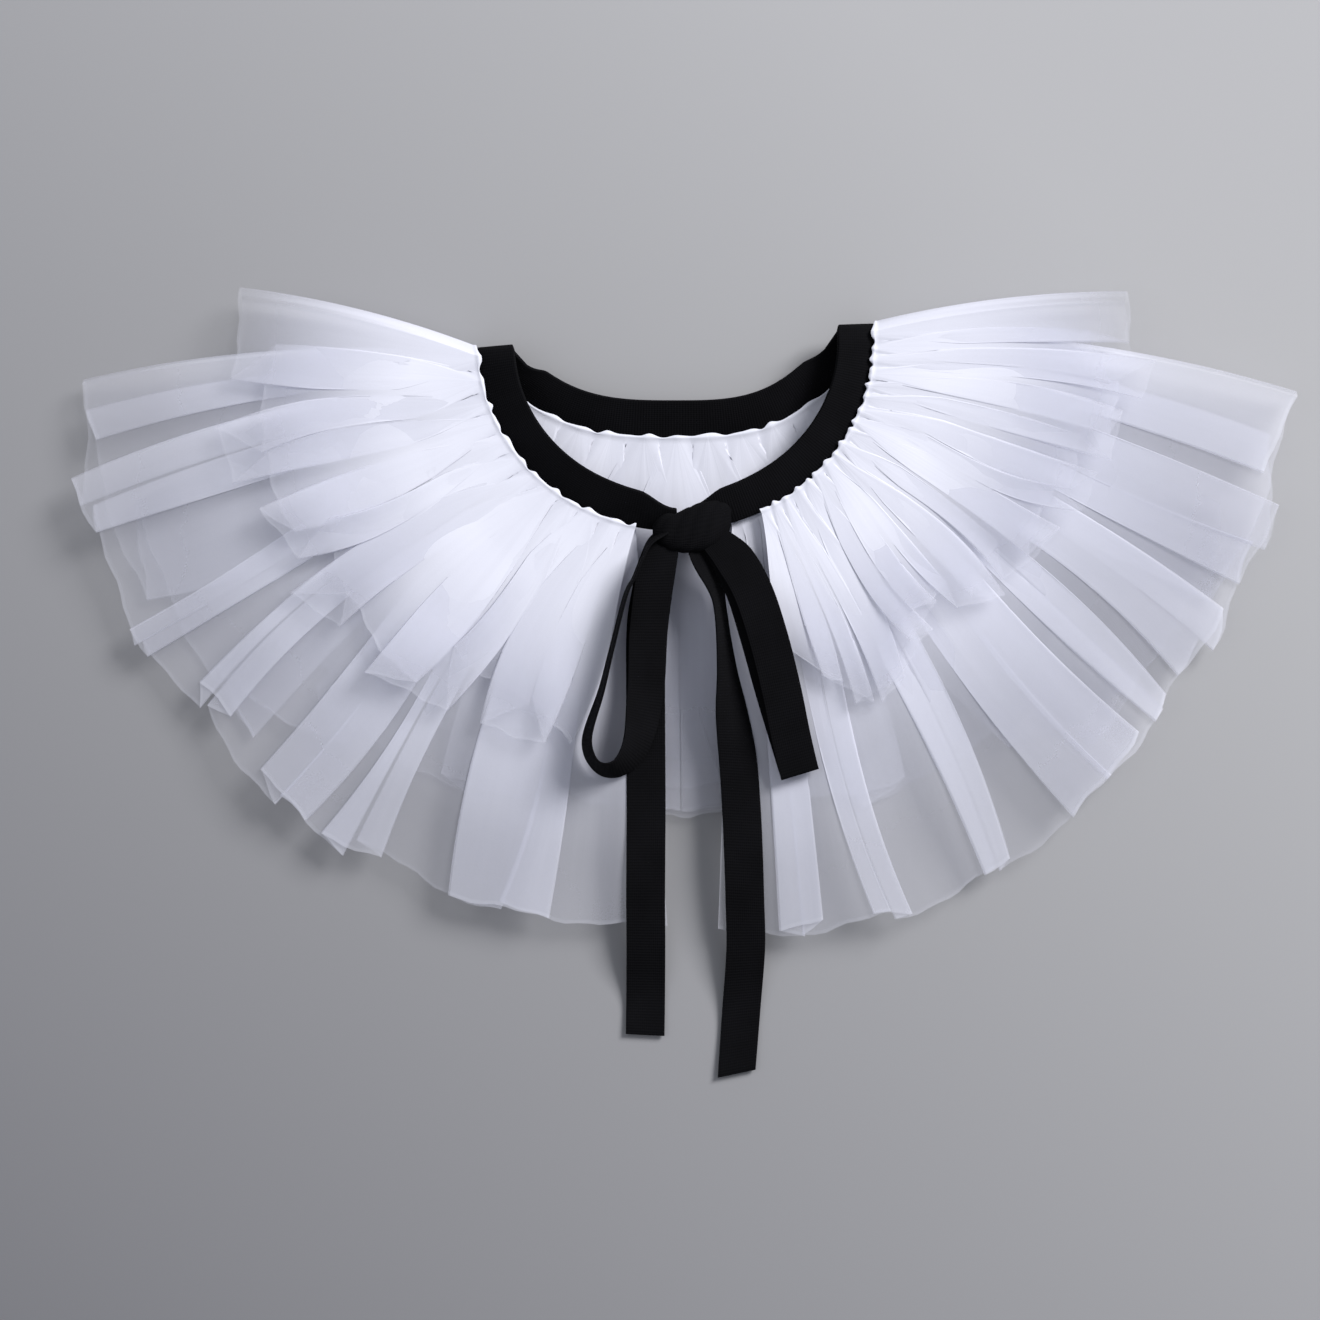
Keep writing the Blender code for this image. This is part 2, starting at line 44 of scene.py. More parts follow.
# Neckline, seen from above: the fronts follow half an ellipse and the back sags less
NECK_MIDDLE = (-2.5, 133.0)
NECK_HALF_WIDTH = 76.0
NECK_FRONT_DROP = 71.5
NECK_BACK_DROP = 35.6
NECK_TILT = math.radians(3.5)
BACK_SAG_POWER = 3.0

# Tape: a folded band along the neck and a single thickness in the bow
TAPE_WIDTH = 15.0
BAND_WALL = 2.0
TAPE_WALL = 0.8
BAND_LIFT = math.radians(20.0)
FRONT_BAND_Z = 13.2
BACK_BAND_Z = 4.2
BAND_TURN_OUT = 2.6
BAND_TURN_STOPS = (0.1, 0.2, 0.35, 0.5, 0.65, 0.8, 0.9)
BAND_WIDTHS = (0.0, 0.06, 0.2, 0.4, 0.6, 0.8, 0.94, 1.0)     # shares of the width, edge to edge
BAND_FRONT_STEPS = 42
BAND_BACK_STEPS = 78
BAND_SHOULDER_SPACE = 3.0
BAND_BACK_SPACE = 0.03
BAND_BACK_TURNED = 0.72
BAND_END_LIFT = math.radians(30.0)
BAND_END_FADE = 3.0             # that lift is gone after this part of each front: a third
BAND_END_WIDTH = 0.62           # share of the band's width left where the knot pinches it
BAND_PINCH = 0.16               # and the share of each front over which it narrows
SHOULDER_LEAN = 0.25
BAND_DOME = 0.35
FRONT_END_LEFT = 255.0
BAND_UNDER_LEFT = 267.0         # the visible band runs on under the knot to here
BAND_UNDER_RIGHT = 270.0

# Small waves that keep repeats from being regular: size, turn in radians for each unit, start
Ripple = namedtuple("Ripple", "size turn start", defaults=[0.0])

# Tulle
SEAM_GAP = 0.8
FOLD_INSET = 0.4
HIDDEN_FOLD = 0.15              # how plainly a fold under a panel shows, next to its own edge
SHOULDER_FOLD_POWER = 8         # how narrow the whiter fold over a shoulder is
LAP = 40.0                      # the most cloth that turns back under a pleat's edge
LAP_SHARE = 0.515               # and the most of the pleat's own width
LAP_VARIES = [Ripple(0.02, 1.7)]
LAP_OPENING = 1.2
CLOSED_STEP = 0.28
NOTCH = 0.78                    # share of a panel that the pleats beside it cover at the neck
NOTCH_VARIES = [Ripple(0.14, 2.1)]
GATHER_HEIGHT = 0.3
GATHER_SPREAD = 0.12            # what is left of it where the gathers spread into the pleats
GATHER_DRIFT = [Ripple(0.8, 0.37), Ripple(0.5, 0.83)]
LINES_PER_GATHER = 6
FAN_MIDDLE = (-1.0, 104.0)
LEFT_SHOULDER = 181.0           # neckline directions where the fronts' gathers stop
RIGHT_SHOULDER = 359.0
SHOULDER_BOW_SPAN = 26.0
HEM_WOBBLE = [Ripple(1.0, 0.47), Ripple(0.5, 1.3, 1.0)]
LEANS = [Ripple(2.5, 0.23), Ripple(0.8, 0.61)]
WAVE_HEIGHT = 4.5
WAVES_PER_TURN = 11.0
WAVE_MIDDLE = 271.0
WAVE_FREE = 8.0
WAVE_RISE = 14.0
WAVE_LEAST = 0.5
WAVE_BEATS = 4.0
FLUTTER = 0.14                  # the cloth's slightest unevenness in height
FLUTTER_TURN = 2.9
FLUTTER_ALONG = 2.0
FLUTTER_FADE = 0.6
LOWEST = 0.3                    # the cloth's least height off the surface
BACK_WANDER = [Ripple(0.10, 2.3, 0.7)]
BACK_SHIFT = 0.3
BACK_UNDER_SHORT = 6.0

# One pleat: hem directions and hem distances of its two edges, and the hem distance
# of the lower layer that shows between it and the next pleat. Degrees run from
# 180 at the left, through 270 at the front, to 360 at the right.
Pleat = namedtuple("Pleat", "start end reach_start reach_end under")
FreeEdge = namedtuple("FreeEdge", "angle reach")

LONG_LEFT = [
    Pleat(176.5, 182.0, 230, 226, 229),
    Pleat(185.5, 191.0, 236, 228, 226),
    Pleat(200.8, 204.0, 227, 223, 223),
    Pleat(208.6, 213.5, 211, 207, 221),
    Pleat(219.8, 227.0, 210, 211, 212),
    Pleat(229.0, 235.7, 210, 205, 201),
    Pleat(244.0, 255.3, 203, 198, 197),
]
LONG_LEFT_EDGE = FreeEdge(268.6, 195)

LONG_RIGHT = [
    Pleat(281.0, 286.0, 200, 199, 208),
    Pleat(291.4, 295.2, 205, 209, 211),
    Pleat(303.8, 307.0, 212, 212, 215),
    Pleat(314.7, 325.8, 215, 213, 217),
    Pleat(327.6, 330.6, 217, 216, 217),
    Pleat(332.8, 340.9, 216, 222, 225),
    Pleat(343.6, 351.9, 225, 232, 229),
    Pleat(354.7, 362.3, 226, 237, 229),
]
LONG_RIGHT_EDGE = FreeEdge(274.3, 197)

SHORT_LEFT = [
    Pleat(164.7, 175.0, 174, 172, 144),
    Pleat(181.0, 188.3, 178, 172, 146),
    Pleat(192.0, 200.2, 164, 156, 126),
    Pleat(204.0, 211.5, 162, 154, 134),
    Pleat(218.8, 231.5, 154, 142, 106),
    Pleat(236.7, 247.5, 140, 134, 132),
]
SHORT_LEFT_EDGE = FreeEdge(251.4, 132)

SHORT_RIGHT = [
    Pleat(299.0, 304.5, 112, 132, 126),
    Pleat(305.5, 311.0, 134, 130, 128),
    Pleat(316.0, 324.6, 124, 119, 112),
    Pleat(325.6, 331.6, 128, 143, 120),
    Pleat(333.4, 344.0, 138, 152, 132),
    Pleat(347.0, 352.6, 158, 160, 142),
    Pleat(354.4, 361.0, 166, 170, 160),
    Pleat(362.4, 367.0, 176, 183, 146),
    Pleat(369.6, 374.6, 176, 178, 174),
]
SHORT_RIGHT_EDGE = FreeEdge(295.8, 98)

# One row of a tier, from the neck (0) to the hem (1): how evenly its fold lines are
# spaced (1 at the gathers), how far gathers have opened into pleats, how far the fold
# lines have turned from where they spring to their places at the hem, how much of the
# hem's wave has grown, then the height of the lowest layer of cloth and the step up to
# the next one, in the fronts and in the back
Row = namedtuple("Row", "at even opened turned wave front_z front_step back_z back_step")
LONG_ROWS = [
    Row(0.00, 1.00, 0.00, 0.00, 0.0, 10.2, 1.7, 5.3, 1.7),
    Row(0.07, 0.75, 0.35, 0.00, 0.0, 10.2, 1.7, 5.3, 1.7),
    Row(0.14, 0.40, 0.80, 0.00, 0.0, 10.2, 1.7, 5.3, 1.7),
    Row(0.22, 0.08, 1.00, 0.05, 0.0, 10.2, 1.7, 5.3, 1.7),
    Row(0.50, 0.00, 1.00, 0.45, 0.0, 10.2, 1.7, 5.3, 1.7),
    Row(0.80, 0.00, 1.00, 0.80, 0.2, 10.2, 1.7, 5.3, 1.7),
    Row(1.00, 0.00, 1.00, 1.00, 1.0, 6.2, 2.3, 0.6, 1.7),
]
SHORT_ROWS = [
    Row(0.00, 1.00, 0.00, 0.00, 0.0, 15.1, 1.7, 0.5, 1.7),
    Row(0.11, 0.75, 0.35, 0.00, 0.0, 15.1, 1.7, 0.5, 1.7),
    Row(0.22, 0.40, 0.80, 0.00, 0.0, 15.1, 1.7, 0.5, 1.7),
    Row(0.34, 0.08, 1.00, 0.05, 0.0, 15.1, 1.7, 0.5, 1.7),
    Row(0.66, 0.00, 1.00, 0.40, 0.3, 15.1, 1.9, 0.5, 1.7),
    Row(1.00, 0.00, 1.00, 1.00, 1.0, 15.1, 2.3, 0.5, 1.7),
]
Tier = namedtuple("Tier", "name rows front_neck_z back_neck_z turn_out turn_steps bow back_wave right_end")
Back = namedtuple("Back", "pleats share reach_middle reach_side power")
LONG_TIER = Tier("long_tier", LONG_ROWS, 11.5, 6.4, 1.6, 2, 6.0, 0.6, 283.0)
LONG_BACK = Back(7, 0.56, 152.0, 229.0, 3.0)
SHORT_TIER = Tier("short_tier", SHORT_ROWS, 16.3, 2.0, 4.6, 4, 3.0, 0.0, 292.0)
SHORT_BACK = Back(6, 0.56, 144.0, 176.0, 2.5)

# How one tier looks: how much of the view its lowest panels and its top panels hide,
# how many thicknesses the gathers press together at the neck and how soon they spread
# out, and where its edge crosses the band's edge (how far, and its height there, both
# in the fronts and in the back)
Net = namedtuple("Net", "cover_low cover_top packed spread over_front over_back front_top back_top")
LONG_NET = Net(0.25, 0.31, 12.0, 2.4, 0.0, 1.6, 11.5, 6.4)
SHORT_NET = Net(0.24, 0.17, 18.0, 1.4, 1.6, 0.0, 16.2, 2.0)

# Bow. One row for each section of tape: its middle, the direction of its width seen
# from above, how far that width is tipped up from lying flat (degrees), and how much
# of it is left where the knot pinches it.
Section = namedtuple("Section", "x y z across tip wide", defaults=[1.0])

TAIL_LEFT = [
    Section(-3.5, 61.5, 19.2, 24, 0, 0.55),
    Section(-6.4, 57.4, 18.9, 16, 0, 0.78),
    Section(-9.4, 50.6, 18.5, 8, 0, 1.0),
    Section(-12.1, 38.5, 17.8, 6, 0),
    Section(-14.0, 24.0, 15.6, 3, 0),
    Section(-14.2, 0.0, 12.2, 0, 0),
    Section(-14.0, -42.4, 11.8, 0, 0),
    Section(-14.1, -62.0, 11.8, 0, 0),
    Section(-14.2, -80.9, 10.2, 0, 0),
    Section(-14.1, -98.0, 7.2, -1, 0),
    Section(-14.2, -118.0, 1.6, -1, 0),
    Section(-14.4, -133.6, 1.4, -3, 0),
]
TAIL_RIGHT = [
    Section(5.2, 60.5, 18.8, 6, 0, 0.6),
    Section(6.6, 57.0, 18.6, 8, -10, 0.75),
    Section(9.2, 51.0, 18.4, 12, -25, 0.9),
    Section(12.6, 40.0, 18.2, 12, -62),
    Section(14.6, 30.0, 18.2, 10, -72),
    Section(17.0, 8.0, 18.0, 4, -60),
    Section(18.8, -8.0, 16.6, 0, -36),
    Section(21.2, -26.0, 13.4, -4, -10),
    Section(22.6, -45.0, 12.0, -3, 0),
    Section(23.4, -62.0, 11.8, -3, 0),
    Section(24.0, -80.9, 10.2, -3, 0),
    Section(24.4, -100.0, 6.8, 2, 0),
    Section(22.8, -124.0, 1.4, 6, 0),
    Section(21.0, -148.6, 1.6, 12, 0),
]
LOOP_RIGHT = [
    Section(8.6, 62.0, 20.4, 30, 0, 0.55),
    Section(13.0, 57.6, 21.0, 28, 0, 0.8),
    Section(19.6, 50.6, 21.6, 26, 0),
    Section(26.8, 38.0, 22.8, 20, 0),
    Section(32.8, 20.0, 23.6, 15, 0),
    Section(37.8, 0.0, 22.6, 12, 0),
    Section(41.4, -17.3, 19.8, 15, 0),
    Section(44.4, -30.0, 17.8, 17, 0),
    Section(45.0, -32.0, 16.6, 17, 0),
    Section(44.4, -30.0, 15.4, 17, 0),
    Section(40.4, -17.0, 16.4, 16, 0),
    Section(35.2, 0.0, 19.6, 14, 0),
    Section(29.6, 20.0, 20.6, 16, 0),
    Section(24.0, 38.0, 20.2, 20, 0),
    Section(17.6, 51.4, 19.3, 24, 0),
    Section(11.5, 58.0, 19.0, 28, 0, 0.75),
]
LOOP_LEFT = [
    Section(-7.0, 61.0, 20.6, -24, 60, 0.5),
    Section(-12.6, 56.4, 21.6, -22, 80, 0.8),
    Section(-16.2, 49.0, 22.4, -20, 86),
    Section(-18.6, 43.0, 22.6, -20, 86),
    Section(-21.9, 36.0, 22.6, -20, 85),
    Section(-27.2, 15.4, 22.2, -20, 84),
    Section(-31.0, 0.0, 22.0, -16, 82),
    Section(-36.6, -19.0, 21.8, 8, 76),
    Section(-32.6, -29.2, 21.6, 76, 72),
    Section(-24.6, -29.6, 20.6, 110, 62),
    Section(-17.6, -20.0, 18.8, 150, 44),
    Section(-14.2, 0.0, 17.4, 176, 20),
    Section(-13.0, 24.0, 19.2, 180, 8),
    Section(-9.4, 49.8, 21.2, 184, 4),
    Section(-6.0, 58.0, 20.4, 196, 0, 0.75),
]

# Knot: sections from its left end to its right: how far along, then the middle and
# half size of the section across (up the picture) and in height
KnotSection = namedtuple("KnotSection", "x y z half_y half_z")
KNOT = [
    KnotSection(-11.5, 61.0, 18.6, 2.2, 2.0),
    KnotSection(-9.6, 60.8, 19.0, 5.0, 3.2),
    KnotSection(-6.4, 60.6, 19.3, 7.0, 4.2),
    KnotSection(-2.2, 60.4, 19.5, 7.6, 4.7),
    KnotSection(2.0, 61.2, 19.5, 8.8, 4.8),
    KnotSection(6.6, 62.4, 19.4, 9.4, 4.8),
    KnotSection(11.0, 63.4, 19.2, 9.2, 4.4),
    KnotSection(14.6, 64.6, 18.8, 7.8, 3.6),
    KnotSection(17.4, 65.6, 18.2, 5.4, 2.6),
    KnotSection(18.6, 66.0, 17.8, 3.0, 1.8),
]
KNOT_ROUND = 36
KNOT_STEPS = 5
KNOT_CREASE = 0.5               # how deep the wraps' creases are
KNOT_CREASE_POWER = 8           # and how narrow
KNOT_CREASE_PITCH = 0.52
KNOT_CREASE_SLANT = 2.0
KNOT_SQUARE_Y = 0.7             # under 1, the section is squarer than an ellipse
KNOT_SQUARE_Z = 0.8
KNOT_RING = 0.0008              # metres of cloth map for each ring and for once round
KNOT_GIRTH = 0.05

# Camera: straight above, with the picture's middle over this layout point
PICTURE_MIDDLE = (-8.66, 11.55)
PICTURE_SPAN = 508.2
CAMERA_HEIGHT = 1600.0
SIGHT_LEVEL = 10.0
SENSOR = 36.0


def mix(a, b, share):
    return a + (b - a) * share


def soft_step(value):
    value = min(max(value, 0.0), 1.0)
    return value * value * (3.0 - 2.0 * value)


def rippled(ripples, value):
    return sum(ripple.size * math.sin(ripple.turn * value + ripple.start) for ripple in ripples)


def to_metres(point):
    return ((point[0] - ORIGIN[0]) * MM, (point[1] - ORIGIN[1]) * MM, point[2] * MM)


class Wire:
    """An output of a shader node. Sums on wires add the Math nodes that work them out."""

    def __init__(self, finish, socket):
        self.finish = finish
        self.socket = socket

    def math(self, operation, a, b):
        return self.finish.node("ShaderNodeMath", {"operation": operation}, {0: a, 1: b})

    def __add__(self, other):
        return self.math("ADD", self, other)

    def __radd__(self, other):
        return self.math("ADD", other, self)

    def __sub__(self, other):
        return self.math("SUBTRACT", self, other)

    def __rsub__(self, other):
        return self.math("SUBTRACT", other, self)

    def __mul__(self, other):
        return self.math("MULTIPLY", self, other)

    def __rmul__(self, other):
        return self.math("MULTIPLY", other, self)

    def clipped(self, low, high):
        return self.math("MINIMUM", self.math("MAXIMUM", self, low), high)


class Finish:
    """A cloth or paper finish, made of shader nodes."""

    def __init__(self, name, colour, roughness):
        self.material = bpy.data.materials.new(name)
        self.material.use_nodes = True
        self.tree = self.material.node_tree
        self.shader = self.tree.nodes["Principled BSDF"]
        self.shader.inputs["Base Color"].default_value = (*colour, 1.0)
        self.shader.inputs["Roughness"].default_value = roughness

    def node(self, kind, settings=None, sockets=None, output=0):
        made = self.tree.nodes.new(kind)
        for name, value in (settings or {}).items():
            setattr(made, name, value)
        for name, value in (sockets or {}).items():
            self.put(made.inputs[name], value)
        return Wire(self, made.outputs[output])

    def put(self, socket, value):
        if isinstance(value, Wire):
            self.tree.links.new(value.socket, socket)
        else:
            socket.default_value = value

    def feed(self, name, value):
        self.put(self.shader.inputs[name], value)

    def attribute(self, name):
        return self.node("ShaderNodeAttribute", {"attribute_name": name}, {}, "Fac")

    def cloth_map(self):
        return self.node("ShaderNodeUVMap", {"uv_map": "cloth"}, {})

    def stretched(self, vector, scale):
        return self.node("ShaderNodeMapping", {}, {"Vector": vector, "Scale": scale})

    def noise(self, vector, scale, detail=2.0):
        sockets = {"Vector": vector, "Scale": scale, "Detail": detail, "Roughness": 0.55}
        return self.node("ShaderNodeTexNoise", {}, sockets, "Fac")

    def blend(self, share, first, second):
        """A mix of two colours, which are the Mix node's sockets 6 and 7 and its output 2."""
        made = self.tree.nodes.new("ShaderNodeMix")
        made.data_type = "RGBA"
        self.put(made.inputs["Factor"], share)
        for place, value in ((6, first), (7, second)):
            self.put(made.inputs[place], value if isinstance(value, Wire) else (*value, 1.0))
        return Wire(self, made.outputs[2])

    def show_through(self, glow_colour, glow, cover):
        """Lets light scatter on through the threads, and leaves the holes between them."""
        thread = self.tree.nodes.new("ShaderNodeMixShader")
        self.put(thread.inputs[0], (1.0 - cover * GLOW_LOST) * glow)
        passed = self.node("ShaderNodeBsdfTranslucent", {}, {"Color": (*glow_colour, 1.0)})
        self.tree.links.new(self.shader.outputs[0], thread.inputs[1])
        self.put(thread.inputs[2], passed)
        net = self.tree.nodes.new("ShaderNodeMixShader")
        self.put(net.inputs[0], cover)
        self.put(net.inputs[1], self.node("ShaderNodeBsdfTransparent"))
        self.tree.links.new(thread.outputs[0], net.inputs[2])
        self.tree.links.new(net.outputs[0], self.tree.nodes["Material Output"].inputs[0])

    def bump(self, height, depth, strength=1.0):
        sockets = {"Height": height, "Distance": depth, "Strength": strength}
        self.feed("Normal", self.node("ShaderNodeBump", {}, sockets))


NET_WHITE = (0.735, 0.745, 0.835)
# the darker tone the net's colour is drawn toward: painted shade near the neck and in the gathers'
# creases, and random mottling
NET_SHADE_AND_MOTTLE = (0.56, 0.57, 0.65)
TAPE_BLACK = (0.0014, 0.0014, 0.0018)
TAPE_WORN = (0.006, 0.006, 0.0075)
THREAD_GLOW = 0.4               # share of the light that the threads pass on
GLOW_LOST = 0.8                 # and how much of that is lost where the net hides all
RIB_PITCH = 0.0011
WEFT_PITCH = 0.0008


def net_finish(name):
    """Fine stiff net: see-through in one thickness, whiter where it is gathered or folded.
    The cloth map runs along the strip (u) and from neck to hem (v), in metres."""
    made = Finish(name, NET_WHITE, 0.55)
    place = made.cloth_map()
    streaks = made.noise(made.stretched(place, (210.0, 5.0, 1.0)), 1.0, 2.0)
    broad = made.noise(made.stretched(place, (34.0, 6.0, 1.0)), 1.0, 1.0)
    grain = made.noise(place, 1500.0, 1.0)
    cover = made.attribute("cover")
    edge = made.attribute("edge")
    # crease holds a painted shade: the net darker near the neck and deeper in the gathers' creases
    crease = made.attribute("crease")
    uneven = 0.84 + streaks * 0.10 + broad * 0.18 + grain * 0.05
    # painted shade from the crease values, with random mottling from the broad noise, darkens the net's
    # colour
    shade_and_mottle = (crease * 0.9 + (0.55 - broad) * 0.4).clipped(0.0, 1.0)
    made.feed("Base Color", made.blend(shade_and_mottle, NET_WHITE, NET_SHADE_AND_MOTTLE))
    made.show_through(NET_WHITE, THREAD_GLOW, (cover * uneven + edge).clipped(0.02, 0.98))
    made.shader.inputs["Sheen Weight"].default_value = 0.12
    made.shader.inputs["Sheen Roughness"].default_value = 0.4
    made.shader.inputs["Specular IOR Level"].default_value = 0.3
    made.bump(streaks * 0.3 + broad * 0.7, 0.0008, 0.3)
    return made.material


def tape_finish(name):
    """Matte woven tape: crosswise ribs over a finer weft, with a little fuzz and wear."""
    made = Finish(name, TAPE_BLACK, 0.85)
    place = made.cloth_map()
    split = made.tree.nodes.new("ShaderNodeSeparateXYZ")
    made.put(split.inputs[0], place)
    along, across = Wire(made, split.outputs[0]), Wire(made, split.outputs[1])
    ribs = sine(made, along, RIB_PITCH)
    weft = sine(made, across, WEFT_PITCH)
    fuzz = made.noise(place, 900.0, 2.0)
    worn = made.noise(place, 45.0, 2.0)
    wear = (worn * 0.7 + fuzz * 0.4 - 0.25).clipped(0.0, 1.0)
    made.feed("Base Color", made.blend(wear, TAPE_BLACK, TAPE_WORN))
    made.feed("Roughness", (0.86 + fuzz * 0.12).clipped(0.5, 1.0))
    made.shader.inputs["Specular IOR Level"].default_value = 0.06
    made.bump(ribs * 0.6 + weft * 0.35 + fuzz * 0.5, 0.00022, 0.7)
    return made.material


def sine(finish, value, pitch):
    """A smooth wave from 0 to 1, one for each pitch (metres) of the value."""
    turned = value * (2.0 * math.pi / pitch)
    wave = finish.node("ShaderNodeMath", {"operation": "SINE"}, {0: turned})
    return wave * 0.5 + 0.5


def cloth_mesh(name, grid, attributes, along, across):
    """A sheet from a grid of points, with its cloth map and its named values."""
    rows, columns = len(grid), len(grid[0])
    points = [to_metres(point) for row in grid for point in row]
    faces = []
    for r in range(rows - 1):
        for c in range(columns - 1):
            first = r * columns + c
            faces.append((first, first + 1, first + columns + 1, first + columns))
    mesh = bpy.data.meshes.new(name)
    mesh.from_pydata(points, [], faces)
    layer = mesh.uv_layers.new(name="cloth")
    for loop in mesh.loops:
        r, c = divmod(loop.vertex_index, columns)
        layer.data[loop.index].uv = (along[c] * MM, across[r] * MM)
    for key, values in attributes.items():
        made = mesh.attributes.new(key, "FLOAT", "POINT")
        made.data.foreach_set("value", values)
    mesh.shade_smooth()
    piece = bpy.data.objects.new(name, mesh)
    bpy.context.scene.collection.objects.link(piece)
    return piece


def front_neck_point(degrees, grow=0.0):
    """A point of the fronts' neckline; grow moves it out, away from the neck."""
    angle = math.radians(degrees)
    x = (NECK_HALF_WIDTH + grow) * math.cos(angle)
    y = (NECK_FRONT_DROP + grow) * math.sin(angle)
    return Vector((NECK_MIDDLE[0] + x * math.cos(NECK_TILT) - y * math.sin(NECK_TILT),
                   NECK_MIDDLE[1] + x * math.sin(NECK_TILT) + y * math.cos(NECK_TILT)))


def back_neck_point(share, grow=0.0):
    """A point of the back's neckline, from the left shoulder (0) to the right (1)."""
    left = front_neck_point(180.0)
    right = front_neck_point(360.0)
    lowest = NECK_MIDDLE[1] - NECK_BACK_DROP
    across = 2.0 * share - 1.0
    height = (left if across < 0 else right).y - lowest
    slope = BACK_SAG_POWER * height * across * abs(across) ** (BACK_SAG_POWER - 2.0) / NECK_HALF_WIDTH
    point = Vector((mix(left.x, right.x, share),
                    lowest + height * abs(across) ** BACK_SAG_POWER))
    out = Vector((slope, -1.0)).normalized()
    return point + out * grow, -out


def shoulder_out(side):
    """The way a fold at a shoulder bulges: up and a little out."""
    return Vector((-math.sin(NECK_TILT), math.cos(NECK_TILT))) + Vector((SHOULDER_LEAN * side, 0.0))


def band_stations():
    """Edge points of the neckband and the direction of its width, end to end."""
    stations = []
    crease = Vector((math.cos(NECK_TILT), math.sin(NECK_TILT)))

    def add(point, inward, z, lift=BAND_LIFT, wide=1.0):
        width = Vector((inward.x * math.cos(lift), inward.y * math.cos(lift), math.sin(lift)))
        stations.append((Vector((point.x, point.y, z)), width * wide))

    def inward_at(degrees):
        return (front_neck_point(degrees, -1.0) - front_neck_point(degrees)).normalized()

    for step in range(BAND_FRONT_STEPS + 1):
        share = step / BAND_FRONT_STEPS
        degrees = mix(BAND_UNDER_LEFT, 180.0 + BAND_SHOULDER_SPACE, share)
        lift = mix(BAND_END_LIFT, BAND_LIFT, soft_step(BAND_END_FADE * share))
        wide = mix(BAND_END_WIDTH, 1.0, soft_step(share / BAND_PINCH))
        add(front_neck_point(degrees), inward_at(degrees), FRONT_BAND_Z, lift, wide)
    for share in BAND_TURN_STOPS:
        corner = front_neck_point(180.0) + shoulder_out(-1) * BAND_TURN_OUT * math.sin(math.pi * share)
        add(corner, crease, mix(FRONT_BAND_Z, BACK_BAND_Z, share))
    for step in range(BAND_BACK_STEPS + 1):
        share = mix(BAND_BACK_SPACE, 1.0 - BAND_BACK_SPACE, step / BAND_BACK_STEPS)
        point, inward = back_neck_point(share)
        side = crease if share < 0.5 else -crease
        turned = soft_step((abs(2.0 * share - 1.0) - BAND_BACK_TURNED) / (1.0 - BAND_BACK_TURNED))
        add(point, (inward * (1.0 - turned) + side * turned).normalized(), BACK_BAND_Z)
    for share in BAND_TURN_STOPS[::-1]:
        corner = front_neck_point(360.0) + shoulder_out(1) * BAND_TURN_OUT * math.sin(math.pi * share)
        add(corner, -crease, mix(FRONT_BAND_Z, BACK_BAND_Z, share))
    for step in range(BAND_FRONT_STEPS + 1):
        share = step / BAND_FRONT_STEPS
        degrees = mix(360.0 - BAND_SHOULDER_SPACE, BAND_UNDER_RIGHT, share)
        lift = mix(BAND_LIFT, BAND_END_LIFT, soft_step(BAND_END_FADE * (share - 1.0) + 1.0))
        wide = mix(BAND_END_WIDTH, 1.0, soft_step((1.0 - share) / BAND_PINCH))
        add(front_neck_point(degrees), inward_at(degrees), FRONT_BAND_Z, lift, wide)
    return stations


# One fold line of a strip: its direction at the hem, the direction it springs from at
# the neck, its hem distance, its layer where the laps are open and where they are
# closed, its side (0 front, 1 back, between at a shoulder), how far a shoulder bulges
# there, and how plainly it shows as the edge of a fold
Line = namedtuple("Line", "angle root reach layer closed side out edge")


def plain_line(angle, reach, layer, side):
    return Line(angle, angle, reach, layer, layer, side, 0.0, 0.0)


def spring(edge, beyond):
    """The direction a pleat's edge springs from. Towards the neck a pleat widens over the
    panel beside it, so that the panel shows as a notch with its point up."""
    return mix(edge, beyond, 0.5 * (NOTCH + rippled(NOTCH_VARIES, edge)))


def fold(lines, angle, root, reach, layer_in, layer_out, toward, side):
    """A rounded fold: the cloth arrives travelling toward (+1 or -1) and turns back."""
    inset = math.degrees(FOLD_INSET / reach) * toward
    raised = CLOSED_STEP if max(layer_in, layer_out) == 2 else -CLOSED_STEP
    between = (layer_in + layer_out) / 2.0
    shows = 1.0 if raised > 0.0 else HIDDEN_FOLD
    spots = ((angle - inset, layer_in, 0.0), (angle, between, shows), (angle - inset, layer_out, 0.0))
    for spot, layer, edge in spots:
        closed = layer + raised * (1.0 - abs(layer - 1.0))
        lines.append(Line(spot, spot + root - angle, reach, layer, closed, side, 0.0, edge))


def lap_degrees(pleat):
    reach = (pleat.reach_start + pleat.reach_end) / 2.0
    width = abs(pleat.end - pleat.start)
    return min(math.degrees(LAP / reach), width * (LAP_SHARE + rippled(LAP_VARIES, pleat.start)))


